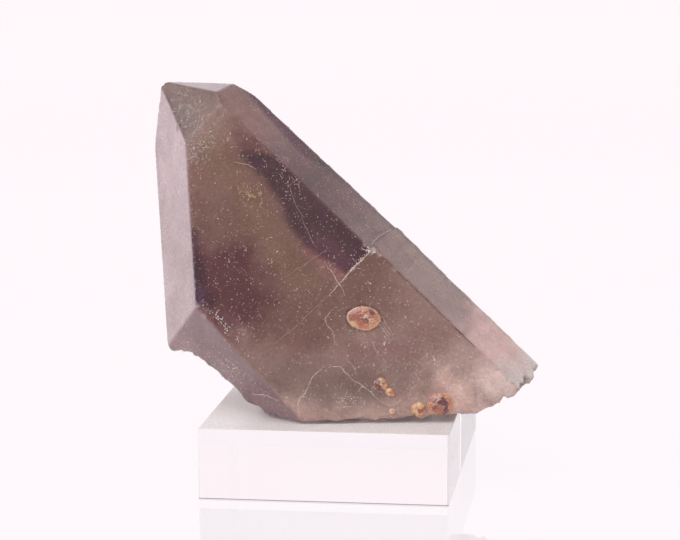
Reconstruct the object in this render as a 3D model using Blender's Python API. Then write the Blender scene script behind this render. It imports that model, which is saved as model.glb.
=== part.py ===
"""Smoky quartz crystal with small spessartine garnets, resting on a clear display block.

Metres, +Z up. The origin is the middle of the block's underside, the front is -Y and the
block's front edge runs along X.
"""

import math

import bmesh
import bpy
from mathutils import Matrix, Vector, noise

MM = 0.001

# Display block
BLOCK_WIDTH = 35.0 * MM
BLOCK_DEPTH = 50.0 * MM
BLOCK_HEIGHT = 10.0 * MM
BLOCK_EDGE = 0.35 * MM
BLOCK_EDGE_SEGMENTS = 3

# Crystal placing: the long axis slants to the left in the front face, which leans back
SEAT_GAP = 0.3 * MM
SEAT_POINT = Vector((-2.6 * MM, -20.7 * MM, BLOCK_HEIGHT + SEAT_GAP))
TURN = math.radians(9.8)
LEAN = math.radians(16.3)
SLANT = math.radians(45.6)

# Crystal faces: direction round the long axis (0 is the front, plus is to the right),
# angle of the face's normal from the long axis, distance from the seat point
PRISM = 90.0
TERMINATION = 51.8
CRYSTAL_FACES = {
    "front": (0, PRISM, 0.0 * MM),
    "right_bevel": (60, PRISM + 0.8, 20.4 * MM),
    "right_back": (120, PRISM - 1.5, 31.5 * MM),
    "back": (180, PRISM, 16.0 * MM),
    "left_back": (-120, PRISM, 12.0 * MM),
    "left_bevel": (-60, PRISM - 3.1, 0.5 * MM),
    "tip_facet": (0, TERMINATION, 24.8 * MM),
    "top": (60, TERMINATION, 42.5 * MM),
    "top_back": (120, TERMINATION, 48.4 * MM),
    "tip_back": (180, TERMINATION, 36.1 * MM),
    "left_side_back": (-120, TERMINATION, 21.9 * MM),
    "left_side": (-60, TERMINATION, 13.4 * MM),
}
ROUGH_SIZE = 160.0 * MM

# Growth steps on the right back face: where each starts along the axis, and how deep it is
STEP_STARTS = (0.5 * MM, 10.6 * MM, 24.0 * MM)
STEP_DEPTH = 0.2 * MM

# Broken underside: its height over the block's top from left to right, and its roughness
UNDERSIDE = (
    (-30.0, 10.4),
    (-24.0, 8.2),
    (-20.0, 7.6),
    (-16.5, 6.2),
    (-13.0, 2.6),
    (-9.5, 0.5),
    (-4.0, 0.0),
    (6.0, 0.3),
    (14.0, 0.8),
    (21.0, 1.6),
    (24.5, 2.7),
    (26.5, 3.9),
    (28.6, 4.4),
    (29.6, 7.0),
    (34.0, 12.0),
)
UNDERSIDE_CELL = 1.3 * MM
UNDERSIDE_X = (-32.0 * MM, 40.0 * MM)
UNDERSIDE_Y = (-30.0 * MM, 14.0 * MM)
UNDERSIDE_FLOOR = -6.0 * MM
CHIP_SIZE = 4.2 * MM
CHIP_HEIGHT = 1.1 * MM
GRAIN_SIZE = 1.6 * MM
GRAIN_HEIGHT = 0.35 * MM

# Garnets: place on the front face (x, z), half sizes (across, up, deep), how far the middle
# lies under the face, and the turn in the face
GARNET_GRAINS = {
    "spessartine_large": (((4.5, 24.3), (2.63, 1.88, 1.4), 0.75, 12.0),),
    "spessartine_cluster": (
        ((7.1, 15.3), (1.15, 1.1, 1.0), 0.3, 35.0),
        ((8.4, 14.4), (1.05, 0.95, 0.9), 0.25, -20.0),
    ),
    "spessartine_pair": (
        ((15.55, 12.75), (1.95, 1.6, 1.4), 0.35, 8.0),
        ((13.1, 12.1), (1.35, 1.05, 1.0), 0.25, -20.0),
    ),
    "spessartine_speck": (((8.85, 11.75), (0.42, 0.4, 0.4), 0.08, 20.0),),
}
GARNET_EDGE = 0.12
SOCKET_GAP = 0.3 * MM
SPECK_SOCKET_GAP = 0.2 * MM

COLOURS = {
    "display_block": (0.93, 0.94, 0.96, 1.0),
    "smoky_quartz": (0.30, 0.245, 0.235, 1.0),
    "spessartine": (0.52, 0.15, 0.03, 1.0),
}


def clear_objects():
    """Removes every object that is in the file at the start."""
    for item in list(bpy.data.objects):
        bpy.data.objects.remove(item, do_unlink=True)


def make_material(name, colour, roughness, transmission=0.0, ior=1.5):
    """Returns a Principled material with a plain colour."""
    material = bpy.data.materials.new(name)
    material.use_nodes = True
    shader = material.node_tree.nodes["Principled BSDF"]
    shader.inputs["Base Color"].default_value = colour
    shader.inputs["Roughness"].default_value = roughness
    shader.inputs["Metallic"].default_value = 0.0
    shader.inputs["Transmission Weight"].default_value = transmission
    shader.inputs["IOR"].default_value = ior
    material.diffuse_color = colour
    return material


def add_object(name, shape, material=None, placing=None):
    """Turns a bmesh into a named object in the scene."""
    mesh = bpy.data.meshes.new(name)
    bmesh.ops.recalc_face_normals(shape, faces=shape.faces)
    shape.to_mesh(mesh)
    shape.free()
    item = bpy.data.objects.new(name, mesh)
    bpy.context.collection.objects.link(item)
    if placing is not None:
        item.matrix_world = placing
    if material is not None:
        mesh.materials.append(material)
    return item


def hide_cutter(cutter):
    """Marks an object as a cutter only."""
    cutter.hide_render = True
    cutter.display_type = "WIRE"


def add_boolean(item, other, operation):
    """Joins or cuts an object with another, which becomes a hidden guide."""
    hide_cutter(other)
    modifier = item.modifiers.new(f"{operation.lower()}_{other.name}", "BOOLEAN")
    modifier.operation = operation
    modifier.solver = "EXACT"
    modifier.object = other


def crystal_placing():
    """Rotation and place of the crystal: +Z is its long axis, -Y its front face."""
    rotation = (
        Matrix.Rotation(TURN, 4, "Z")
        @ Matrix.Rotation(-LEAN, 4, "X")
        @ Matrix.Rotation(-SLANT, 4, "Y")
    )
    return Matrix.Translation(SEAT_POINT) @ rotation


def face_normal(direction, from_axis):
    """Outward normal of a crystal face, in the crystal's own frame."""
    around = math.radians(direction)
    polar = math.radians(from_axis)
    outward = Vector((math.sin(around), -math.cos(around), 0.0))
    return outward * math.sin(polar) + Vector((0.0, 0.0, math.cos(polar)))


def cut_away(shape, point, normal):
    """Cuts off all that lies beyond a plane, and closes the cut."""
    geometry = shape.verts[:] + shape.edges[:] + shape.faces[:]
    result = bmesh.ops.bisect_plane(
        shape, geom=geometry, dist=1e-7, plane_co=point, plane_no=normal, clear_outer=True
    )
    cut_edges = [part for part in result["geom_cut"] if isinstance(part, bmesh.types.BMEdge)]
    if cut_edges:
        bmesh.ops.contextual_create(shape, geom=cut_edges)


def crystal_shape():
    """The whole crystal as flat faces, in its own frame, with its lower end cut level."""
    shape = bmesh.new()
    bmesh.ops.create_cube(shape, size=ROUGH_SIZE)
    for direction, from_axis, distance in CRYSTAL_FACES.values():
        normal = face_normal(direction, from_axis)
        cut_away(shape, normal * distance, normal)
    to_crystal = crystal_placing().inverted()
    below_seat = Vector((0.0, 0.0, BLOCK_HEIGHT - SEAT_GAP))
    down = to_crystal.to_3x3() @ Vector((0.0, 0.0, -1.0))
    cut_away(shape, to_crystal @ below_seat, down)
    return shape


def growth_step_shape(start, depth):
    """What one growth step takes off the right back face, from its start to the tip."""
    direction, from_axis, distance = CRYSTAL_FACES["right_back"]
    normal = face_normal(direction, from_axis)
    shape = bmesh.new()
    bmesh.ops.create_cube(shape, size=ROUGH_SIZE)
    cut_away(shape, normal * (distance - depth), -normal)
    cut_away(shape, Vector((0.0, 0.0, start)), Vector((0.0, 0.0, -1.0)))
    return shape


def underside_height(x):
    """Height of the broken underside over the block's top, straight between its points."""
    x_mm = x / MM
    for (left, low), (right, high) in zip(UNDERSIDE, UNDERSIDE[1:]):
        if x_mm <= right:
            share = max(0.0, (x_mm - left) / (right - left))
            return (low + (high - low) * share) * MM
    return UNDERSIDE[-1][1] * MM


def break_height(x, y):
    """Height in the world of the broken surface: the slope, chips and fine grain."""
    spot = Vector((x, y, 0.0))
    chip = (noise.cell(spot / CHIP_SIZE) - 0.5) * CHIP_HEIGHT
    grain = noise.noise(spot / GRAIN_SIZE) * GRAIN_HEIGHT
    rise = underside_height(x)
    rough = chip * min(1.0, rise / (2.0 * MM)) + grain
    return BLOCK_HEIGHT + SEAT_GAP + max(0.0, rise + rough)


def break_shape():
    """The solid under the crystal's broken underside, which is cut away from it."""
    shape = bmesh.new()
    columns = round((UNDERSIDE_X[1] - UNDERSIDE_X[0]) / UNDERSIDE_CELL)
    rows = round((UNDERSIDE_Y[1] - UNDERSIDE_Y[0]) / UNDERSIDE_CELL)
    grid = []
    for row in range(rows + 1):
        y = UNDERSIDE_Y[0] + row * UNDERSIDE_CELL
        line = []
        for column in range(columns + 1):
            x = UNDERSIDE_X[0] + column * UNDERSIDE_CELL
            line.append(shape.verts.new((x, y, break_height(x, y))))
        grid.append(line)
    for front, behind in zip(grid, grid[1:]):
        for index in range(columns):
            left, right = index, index + 1
            shape.faces.new((front[left], front[right], behind[left]))
            shape.faces.new((front[right], behind[right], behind[left]))
    rim = [edge for edge in shape.edges if edge.is_boundary]
    skirt = bmesh.ops.extrude_edge_only(shape, edges=rim)["geom"]
    low = [part for part in skirt if isinstance(part, bmesh.types.BMVert)]
    for vert in low:
        vert.co.z = UNDERSIDE_FLOOR
    bmesh.ops.contextual_create(shape, geom=[e for e in shape.edges if e.is_boundary])
    return shape


def garnet_shape(half_sizes, grow=0.0):
    """A 24-sided garnet form with softened edges, stretched to its half sizes."""
    shape = bmesh.new()
    for x in (-1, 0, 1):
        for y in (-1, 0, 1):
            for z in (-1, 0, 1):
                axes = abs(x) + abs(y) + abs(z)
                if axes:
                    shape.verts.new(Vector((x, y, z)) * 2.0 / (1 + axes))
    bmesh.ops.convex_hull(shape, input=shape.verts[:])
    bmesh.ops.dissolve_limit(
        shape, angle_limit=math.radians(1.0), verts=shape.verts[:], edges=shape.edges[:]
    )
    bmesh.ops.bevel(
        shape, geom=shape.edges[:] + shape.verts[:], offset=GARNET_EDGE, segments=1, affect="EDGES"
    )
    across, up, deep = half_sizes
    stretch = Vector((across * MM + grow, deep * MM + grow, up * MM + grow))
    bmesh.ops.scale(shape, vec=stretch, verts=shape.verts[:])
    return shape


def front_face_place(x, z, sunk):
    """Point under the crystal's front face at x and z, sunk along the face's normal."""
    normal = crystal_placing().to_3x3() @ face_normal(0, PRISM)
    reach = normal.dot(SEAT_POINT) - normal.x * x - normal.z * z
    return Vector((x, reach / normal.y, z)) - normal * sunk


def garnet_placing(place, sunk, turn):
    """Placing of one garnet, square to the front face and turned in it."""
    x, z = place
    point = front_face_place(x * MM, z * MM, sunk * MM)
    rotation = Matrix.Rotation(TURN, 4, "Z") @ Matrix.Rotation(-LEAN, 4, "X")
    return Matrix.Translation(point) @ rotation @ Matrix.Rotation(math.radians(turn), 4, "Y")


def build_block(material):
    """The rectangular block with finely bevelled edges."""
    shape = bmesh.new()
    bmesh.ops.create_cube(shape, size=1.0)
    bmesh.ops.scale(shape, vec=(BLOCK_WIDTH, BLOCK_DEPTH, BLOCK_HEIGHT), verts=shape.verts[:])
    block = add_object("display_block", shape, material)
    block.location.z = BLOCK_HEIGHT / 2
    bevel = block.modifiers.new("edge", "BEVEL")
    bevel.width = BLOCK_EDGE
    bevel.segments = BLOCK_EDGE_SEGMENTS
    return block


def build_crystal(material):
    """The crystal with its growth steps and its broken underside."""
    placing = crystal_placing()
    crystal = add_object("smoky_quartz", crystal_shape(), material, placing)
    for number, start in enumerate(STEP_STARTS, 1):
        shape = growth_step_shape(start, STEP_DEPTH * number)
        add_boolean(crystal, add_object(f"growth_step_{number}", shape, None, placing), "DIFFERENCE")
    add_boolean(crystal, add_object("broken_underside", break_shape()), "DIFFERENCE")
    return crystal


def build_garnets(crystal, material):
    """The garnets in the front face, and the sockets that they sit in."""
    for name, grains in GARNET_GRAINS.items():
        gap = SPECK_SOCKET_GAP if name == "spessartine_speck" else SOCKET_GAP
        garnet = None
        for number, (place, half_sizes, sunk, turn) in enumerate(grains, 1):
            placing = garnet_placing(place, sunk, turn)
            socket = add_object(f"{name}_socket_{number}", garnet_shape(half_sizes, gap), None, placing)
            add_boolean(crystal, socket, "DIFFERENCE")
            grain_name = name if garnet is None else f"{name}_grain_{number}"
            grain = add_object(grain_name, garnet_shape(half_sizes), material, placing)
            if garnet is None:
                garnet = grain
            else:
                add_boolean(garnet, grain, "UNION")


def main():
    """Builds the display block, the crystal and its garnets."""
    clear_objects()
    clear = make_material("clear_acrylic", COLOURS["display_block"], 0.03, 1.0, 1.49)
    smoky = make_material("smoky_quartz", COLOURS["smoky_quartz"], 0.12, 0.6, 1.544)
    orange = make_material("spessartine", COLOURS["spessartine"], 0.3)
    build_block(clear)
    crystal = build_crystal(smoky)
    build_garnets(crystal, orange)


if __name__ == "__main__":
    main()
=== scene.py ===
"""Smoky quartz with spessartine garnets on a clear display block: surfaces, finishes, light.

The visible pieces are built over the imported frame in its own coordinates. Sizes in the
classes are millimetres, and MM turns them into Blender's metres.
"""

import logging
import math
from collections.abc import Sequence
from dataclasses import dataclass, field
from enum import Enum

import bmesh
import bpy
import numpy as np
from mathutils import Matrix, Vector


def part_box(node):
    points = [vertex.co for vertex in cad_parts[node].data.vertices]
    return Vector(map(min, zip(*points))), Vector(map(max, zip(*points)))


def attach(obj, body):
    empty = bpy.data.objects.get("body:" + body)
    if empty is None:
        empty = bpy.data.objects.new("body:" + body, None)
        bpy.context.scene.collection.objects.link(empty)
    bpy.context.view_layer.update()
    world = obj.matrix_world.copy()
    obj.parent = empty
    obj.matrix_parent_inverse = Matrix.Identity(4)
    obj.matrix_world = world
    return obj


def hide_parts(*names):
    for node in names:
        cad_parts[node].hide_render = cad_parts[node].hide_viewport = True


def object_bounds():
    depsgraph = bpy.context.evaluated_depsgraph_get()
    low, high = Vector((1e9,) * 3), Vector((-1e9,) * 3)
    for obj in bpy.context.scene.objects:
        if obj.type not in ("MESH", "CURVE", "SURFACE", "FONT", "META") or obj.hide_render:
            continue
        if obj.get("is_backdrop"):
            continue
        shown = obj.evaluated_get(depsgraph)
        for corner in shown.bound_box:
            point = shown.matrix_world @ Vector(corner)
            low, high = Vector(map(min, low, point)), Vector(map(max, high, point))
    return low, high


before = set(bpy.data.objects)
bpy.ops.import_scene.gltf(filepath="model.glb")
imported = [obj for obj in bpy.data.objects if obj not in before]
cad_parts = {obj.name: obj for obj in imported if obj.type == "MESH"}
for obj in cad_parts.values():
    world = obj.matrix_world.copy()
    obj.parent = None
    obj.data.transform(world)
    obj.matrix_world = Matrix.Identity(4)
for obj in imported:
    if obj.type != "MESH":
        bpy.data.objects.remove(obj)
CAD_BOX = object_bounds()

LOG = logging.getLogger("specimen")
MM = 0.001
CELL_PRIMES = (73856093, 19349663, 83492791)
SEED_PRIME = 2654435761
MIX_STEPS = ((15, 2246822519), (13, 3266489917))
LAST_SHIFT = 16
LOW_BITS = 0xFFFFFFFF

Triple = tuple[float, float, float]
Pair = tuple[float, float]
Shades = tuple[Triple, Triple]
Shape = tuple[np.ndarray, list[tuple[int, ...]]]
TintedShapes = tuple[list[Shape], list[Triple]]
Dice = np.random.Generator


# Number helpers


def smooth_share(low: float, high: float, values: np.ndarray) -> np.ndarray:
    """Rises smoothly from 0 at low to 1 at high.

    Args:
        low: value where the share is 0.
        high: value where the share is 1.
        values: numbers to judge.

    Returns:
        A share from 0 to 1 for each number.
    """
    share = np.clip((values - low) / (high - low), 0.0, 1.0)
    return share * share * (3.0 - 2.0 * share)


def cell_values(cells: np.ndarray, seed: int) -> np.ndarray:
    """Repeatable values from 0 to 1 for whole-numbered cells.

    Args:
        cells: whole numbers, the last axis holding x, y and z.
        seed: number that tells one pattern from another.

    Returns:
        One value for each cell.
    """
    whole = cells.astype(np.int64) * np.array(CELL_PRIMES)
    mixed = whole[..., 0] ^ whole[..., 1] ^ whole[..., 2]
    mixed = (mixed ^ (seed * SEED_PRIME)) & LOW_BITS
    for shift, prime in MIX_STEPS:
        mixed = ((mixed ^ (mixed >> shift)) * prime) & LOW_BITS
    return (mixed ^ (mixed >> LAST_SHIFT)) / float(LOW_BITS)


def smooth_noise(points: np.ndarray, size: float | Triple, seed: int) -> np.ndarray:
    """Smooth random relief from -1 to 1.

    Args:
        points: places, the last axis holding x, y and z.
        size: width of one bump, the same or different along the three axes.
        seed: number that tells one pattern from another.

    Returns:
        One height for each place.
    """
    scaled = points / np.asarray(size, float)
    base = np.floor(scaled)
    part = scaled - base
    part = part * part * (3.0 - 2.0 * part)
    total = np.zeros(points.shape[:-1])
    for corner in np.ndindex(2, 2, 2):
        weight = np.prod(np.where(np.array(corner) == 1, part, 1.0 - part), axis=-1)
        total += weight * cell_values(base + corner, seed)
    return total * 2.0 - 1.0


def layered_noise(points: np.ndarray, size: float, seed: int, layers: int = 3) -> np.ndarray:
    """Smooth random relief with finer relief on it.

    Args:
        points: places, the last axis holding x, y and z.
        size: width of the widest bumps.
        seed: number that tells one pattern from another.
        layers: how many layers, each half as wide and half as high.

    Returns:
        One height for each place.
    """
    total = np.zeros(points.shape[:-1])
    for layer in range(layers):
        total += smooth_noise(points, size / 2.0**layer, seed + layer) / 2.0**layer
    return total


def chip_facets(flat: np.ndarray, size: float, slope: float, seed: int) -> np.ndarray:
    """Height of a surface broken into small tilted facets.

    Args:
        flat: places in the plane of the break, the last axis holding two values.
        size: width of one facet.
        slope: steepest tilt of a facet.
        seed: number that tells one pattern from another.

    Returns:
        One height for each place, about as high as slope times size.
    """
    scaled = flat / size
    base = np.floor(scaled)
    nearest = np.full(flat.shape[:-1], np.inf)
    height = np.zeros(flat.shape[:-1])
    for step in np.ndindex(3, 3):
        cell = base + np.array(step) - 1.0
        cell3 = np.concatenate([cell, np.zeros(cell.shape[:-1] + (1,))], axis=-1)
        values = [cell_values(cell3, seed + index) for index in range(5)]
        gap = scaled - cell - np.stack(values[:2], axis=-1)
        distance = np.einsum("...i,...i->...", gap, gap)
        tilt = (np.stack(values[2:4], axis=-1) - 0.5) * 2.0 * slope
        facet = np.einsum("...i,...i->...", gap, tilt) + (values[4] - 0.5) * slope
        closer = distance < nearest
        nearest = np.where(closer, distance, nearest)
        height = np.where(closer, facet, height)
    return height * size


def polyline_distance(places: np.ndarray, line: Sequence[Pair]) -> np.ndarray:
    """Distance from each place in a plane to a line of straight runs.

    Args:
        places: places in the plane, the last axis holding two values.
        line: the line's corners.

    Returns:
        One distance for each place.
    """
    best = np.full(places.shape[:-1], np.inf)
    for start, end in zip(line, line[1:]):
        begin = np.array(start, float)
        run = np.array(end, float) - begin
        share = np.clip((places - begin) @ run / (run @ run), 0.0, 1.0)
        gap = places - begin - share[..., None] * run
        best = np.minimum(best, np.sqrt(np.einsum("...i,...i->...", gap, gap)))
    return best


def outline_distance(places: np.ndarray, outline: Sequence[Pair]) -> np.ndarray:
    """Distance from each place to a closed outline, negative inside it.

    Args:
        places: places in the plane, the last axis holding two values.
        outline: the outline's corners, in order.

    Returns:
        One distance for each place.
    """
    closed = [*outline, outline[0]]
    inside = np.zeros(places.shape[:-1], bool)
    for (left, low), (right, high) in zip(closed, closed[1:]):
        if low == high:
            continue
        crosses = (low > places[..., 1]) != (high > places[..., 1])
        meet = left + (places[..., 1] - low) * (right - left) / (high - low)
        inside ^= crosses & (places[..., 0] < meet)
    return np.where(inside, -1.0, 1.0) * polyline_distance(places, closed)


def level_places(flat: np.ndarray) -> np.ndarray:
    """Gives places in a plane a third measure of 0."""
    return np.column_stack([flat, np.zeros(len(flat))])


def blend_tints(tints: np.ndarray, tone: Triple | np.ndarray, share: np.ndarray) -> np.ndarray:
    """Moves each tint towards one tone by its share."""
    return tints + (np.array(tone) - tints) * share[:, None]


# Mesh helpers


def add_object(name: str, data: bpy.types.ID) -> bpy.types.Object:
    """Adds an object with a mesh, lamp or camera to the scene."""
    item = bpy.data.objects.new(name, data)
    bpy.context.scene.collection.objects.link(item)
    return item


def ring_faces(rings: int, sides: int) -> list[tuple[int, ...]]:
    """Closes a stack of equal rings of points with side faces and two end caps.

    Args:
        rings: how many rings there are.
        sides: how many points each ring has.

    Returns:
        The corner numbers of each face.
    """
    faces: list[tuple[int, ...]] = []
    for ring in range(rings - 1):
        here, there = ring * sides, (ring + 1) * sides
        for side in range(sides):
            after = (side + 1) % sides
            faces.append((here + side, there + side, there + after, here + after))
    faces.append(tuple(range(sides)))
    faces.append(tuple(reversed(range((rings - 1) * sides, rings * sides))))
    return faces


def piece_from_arrays(
    name: str, points: np.ndarray, faces: Sequence[Sequence[int]]
) -> bpy.types.Object:
    """Makes a smooth-shaded piece from places in millimetres and faces.

    Args:
        name: the piece's name.
        points: places in millimetres.
        faces: corner numbers of each face.

    Returns:
        The new object, linked to the scene.
    """
    mesh = bpy.data.meshes.new(name)
    mesh.from_pydata((points * MM).tolist(), [], [list(face) for face in faces])
    mesh.validate()
    mesh.shade_smooth()
    return add_object(name, mesh)


def mesh_points(mesh: bpy.types.Mesh) -> np.ndarray:
    """Places of a mesh's points in millimetres."""
    flat = np.empty(len(mesh.vertices) * 3, np.float32)
    mesh.vertices.foreach_get("co", flat)
    return flat.reshape(-1, 3).astype(float) / MM


def set_mesh_points(mesh: bpy.types.Mesh, points: np.ndarray) -> None:
    """Moves a mesh's points to places in millimetres."""
    mesh.vertices.foreach_set("co", (points * MM).astype(np.float32).ravel())
    mesh.update()


def relax_mesh(mesh: bpy.types.Mesh, rounds: int, chosen: np.ndarray) -> None:
    """Evens out a mesh by moving its points towards their neighbours.

    Args:
        mesh: the mesh to change.
        rounds: how many times its points are moved.
        chosen: which of its points are moved.
    """
    shape = bmesh.new()
    shape.from_mesh(mesh)
    moved = [vert for vert, move in zip(shape.verts, chosen) if move]
    axes = {"use_axis_x": True, "use_axis_y": True, "use_axis_z": True}
    for _ in range(rounds):
        bmesh.ops.smooth_vert(shape, verts=moved, factor=0.5, **axes)
    shape.to_mesh(mesh)
    shape.free()


def mesh_normals(mesh: bpy.types.Mesh) -> np.ndarray:
    """Outward directions of a mesh's points."""
    flat = np.empty(len(mesh.vertices) * 3, np.float32)
    mesh.vertex_normals.foreach_get("vector", flat)
    return flat.reshape(-1, 3).astype(float)


def store_value(mesh: bpy.types.Mesh, name: str, values: np.ndarray) -> None:
    """Keeps one number on each point, for a finish to read by name."""
    mesh.attributes.new(name, "FLOAT", "POINT").data.foreach_set("value", values.astype(np.float32))


def store_vector(mesh: bpy.types.Mesh, name: str, values: np.ndarray) -> None:
    """Keeps three numbers on each point, for a finish to read by name."""
    layer = mesh.attributes.new(name, "FLOAT_VECTOR", "POINT")
    layer.data.foreach_set("vector", values.astype(np.float32).ravel())


def store_colour(mesh: bpy.types.Mesh, name: str, colours: np.ndarray) -> None:
    """Keeps one colour on each point, for a finish to read by name.

    Args:
        mesh: the mesh to mark.
        name: what the finish calls the colour.
        colours: red, green and blue for each point.
    """
    full = np.ones((len(colours), 4), np.float32)
    full[:, :3] = colours
    mesh.attributes.new(name, "FLOAT_COLOR", "POINT").data.foreach_set("color", full.ravel())


def tube_shape(
    route: np.ndarray, radii: np.ndarray, outward: np.ndarray, flatness: float, sides: int
) -> Shape:
    """Closed tube along a route.

    Args:
        route: places that the tube's middle follows.
        radii: half width of the tube at each place.
        outward: direction of the surface that the tube lies on.
        flatness: half height of the tube as a share of its half width.
        sides: how many sides it has.

    Returns:
        Its points and faces.
    """
    ahead = np.gradient(route, axis=0)
    ahead /= np.linalg.norm(ahead, axis=1, keepdims=True)
    aside = np.cross(ahead, outward)
    aside /= np.linalg.norm(aside, axis=1, keepdims=True)
    upright = np.cross(aside, ahead) * flatness
    angles = np.arange(sides) * 2.0 * math.pi / sides
    ring = aside[:, None] * np.cos(angles)[:, None] + upright[:, None] * np.sin(angles)[:, None]
    points = (route[:, None] + ring * radii[:, None, None]).reshape(-1, 3)
    return points, ring_faces(len(route), sides)


def flake_shape(place: np.ndarray, axes: np.ndarray) -> Shape:
    """Closed eight-sided flake.

    Args:
        place: the flake's middle.
        axes: its three half axes.

    Returns:
        Its points and faces.
    """
    points = np.concatenate([place + axes, place - axes])
    faces = []
    for first, second, third in ((0, 1, 2), (1, 3, 2), (3, 4, 2), (4, 0, 2)):
        faces.append((first, second, third))
        faces.append((second, first, third + 3))
    return points, faces


def join_shapes(
    name: str, shapes: Sequence[Shape], colours: Sequence[Triple | np.ndarray]
) -> bpy.types.Object:
    """Makes one piece of many small closed shapes, each with its own tint.

    Args:
        name: the piece's name.
        shapes: points and faces of each shape, in millimetres.
        colours: tint of each shape, or of each of its points.

    Returns:
        The new object.
    """
    points: list[np.ndarray] = []
    faces: list[tuple[int, ...]] = []
    tints: list[np.ndarray] = []
    count = 0
    for (shape_points, shape_faces), colour in zip(shapes, colours):
        points.append(shape_points)
        faces.extend(tuple(index + count for index in face) for face in shape_faces)
        tints.append(np.broadcast_to(colour, shape_points.shape))
        count += len(shape_points)
    item = piece_from_arrays(name, np.concatenate(points), faces)
    store_colour(item.data, "tint", np.concatenate(tints))
    return item


def report_piece(item: bpy.types.Object) -> None:
    """Notes a finished piece and how many faces it has."""
    LOG.info("%s: %d points, %d faces", item.name, len(item.data.vertices), len(item.data.polygons))


# Shader helpers


class FinishNodes:
    """Adds and links the nodes of one material."""

    def __init__(self, name: str) -> None:
        """Starts a material with its shader and output.

        Args:
            name: the material's name.
        """
        self.material = bpy.data.materials.new(name)
        self.material.use_nodes = True
        self.tree = self.material.node_tree
        self.shader = self.tree.nodes["Principled BSDF"]
        self.output = self.tree.nodes["Material Output"]
        self.places = self.tree.nodes.new("ShaderNodeTexCoord").outputs["Object"]

    def set(self, **values: float | Sequence[float]) -> None:
        """Sets the shader's own sockets, named with underscores for spaces."""
        for name, value in values.items():
            self.shader.inputs[name.replace("_", " ")].default_value = value

    def link(self, source: bpy.types.NodeSocket, target: str) -> None:
        """Links a value to one of the shader's sockets."""
        self.tree.links.new(source, self.shader.inputs[target])

    def add(self, kind: str, inputs: dict[str | int, object], **settings: object) -> bpy.types.Node:
        """Adds a node.

        Args:
            kind: the node's type.
            inputs: what goes into its sockets, either values or other nodes' outputs.
            settings: the node's own properties.

        Returns:
            The new node.
        """
        node = self.tree.nodes.new(kind)
        for name, value in settings.items():
            setattr(node, name, value)
        for name, value in inputs.items():
            if isinstance(value, bpy.types.NodeSocket):
                self.tree.links.new(value, node.inputs[name])
            else:
                node.inputs[name].default_value = value
        return node

    def noise(self, size: float, detail: float = 4.0, rough: float = 0.55) -> bpy.types.NodeSocket:
        """Random values whose bumps are about size millimetres wide."""
        inputs = {"Vector": self.places, "Scale": 1.0 / (size * MM)}
        inputs |= {"Detail": detail, "Roughness": rough}
        return self.add("ShaderNodeTexNoise", inputs).outputs["Fac"]

    def scaled_noise(self, places: bpy.types.NodeSocket, detail: float) -> bpy.types.NodeSocket:
        """Random values over places that are already scaled."""
        inputs = {"Vector": places, "Scale": 1.0, "Detail": detail}
        return self.add("ShaderNodeTexNoise", inputs).outputs["Fac"]

    def spread(
        self, value: bpy.types.NodeSocket, low: float, high: float, to_low: float, to_high: float
    ) -> bpy.types.NodeSocket:
        """Stretches a value from one range to another, held at the ends."""
        inputs = {"Value": value, "From Min": low, "From Max": high}
        inputs |= {"To Min": to_low, "To Max": to_high}
        return self.add("ShaderNodeMapRange", inputs).outputs["Result"]

    def mix(
        self, share: object, first: object, second: object, blend: str = "MIX"
    ) -> bpy.types.NodeSocket:
        """Blends two colours by a share from 0 to 1."""
        node = self.add("ShaderNodeMix", {}, data_type="RGBA", blend_type=blend)
        for index, value in ((0, share), (6, first), (7, second)):
            if isinstance(value, bpy.types.NodeSocket):
                self.tree.links.new(value, node.inputs[index])
            elif index:
                node.inputs[index].default_value = (*value, 1.0)
            else:
                node.inputs[index].default_value = value
        return node.outputs[2]

    def maths(self, operation: str, first: object, second: object = 0.0) -> bpy.types.NodeSocket:
        """Works out one sum of two numbers."""
        return self.add("ShaderNodeMath", {0: first, 1: second}, operation=operation).outputs[0]

    def stored(self, name: str, output: str = "Fac") -> bpy.types.NodeSocket:
        """Reads what the mesh keeps under a name."""
        return self.add("ShaderNodeAttribute", {}, attribute_name=name).outputs[output]

    def bump(
        self, height: bpy.types.NodeSocket, depth: float, strength: float, under: object = None
    ) -> bpy.types.NodeSocket:
        """Turns a height from 0 to 1 into relief of depth millimetres."""
        inputs = {"Height": height, "Distance": depth * MM, "Strength": strength}
        if under is not None:
            inputs["Normal"] = under
        return self.add("ShaderNodeBump", inputs).outputs["Normal"]

    def absorb(self, colour: Triple, density: float) -> None:
        """Fills the inside with a plain absorption."""
        inputs = {"Color": (*colour, 1.0), "Density": density}
        volume = self.add("ShaderNodeVolumeAbsorption", inputs).outputs["Volume"]
        self.tree.links.new(volume, self.output.inputs["Volume"])


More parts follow.
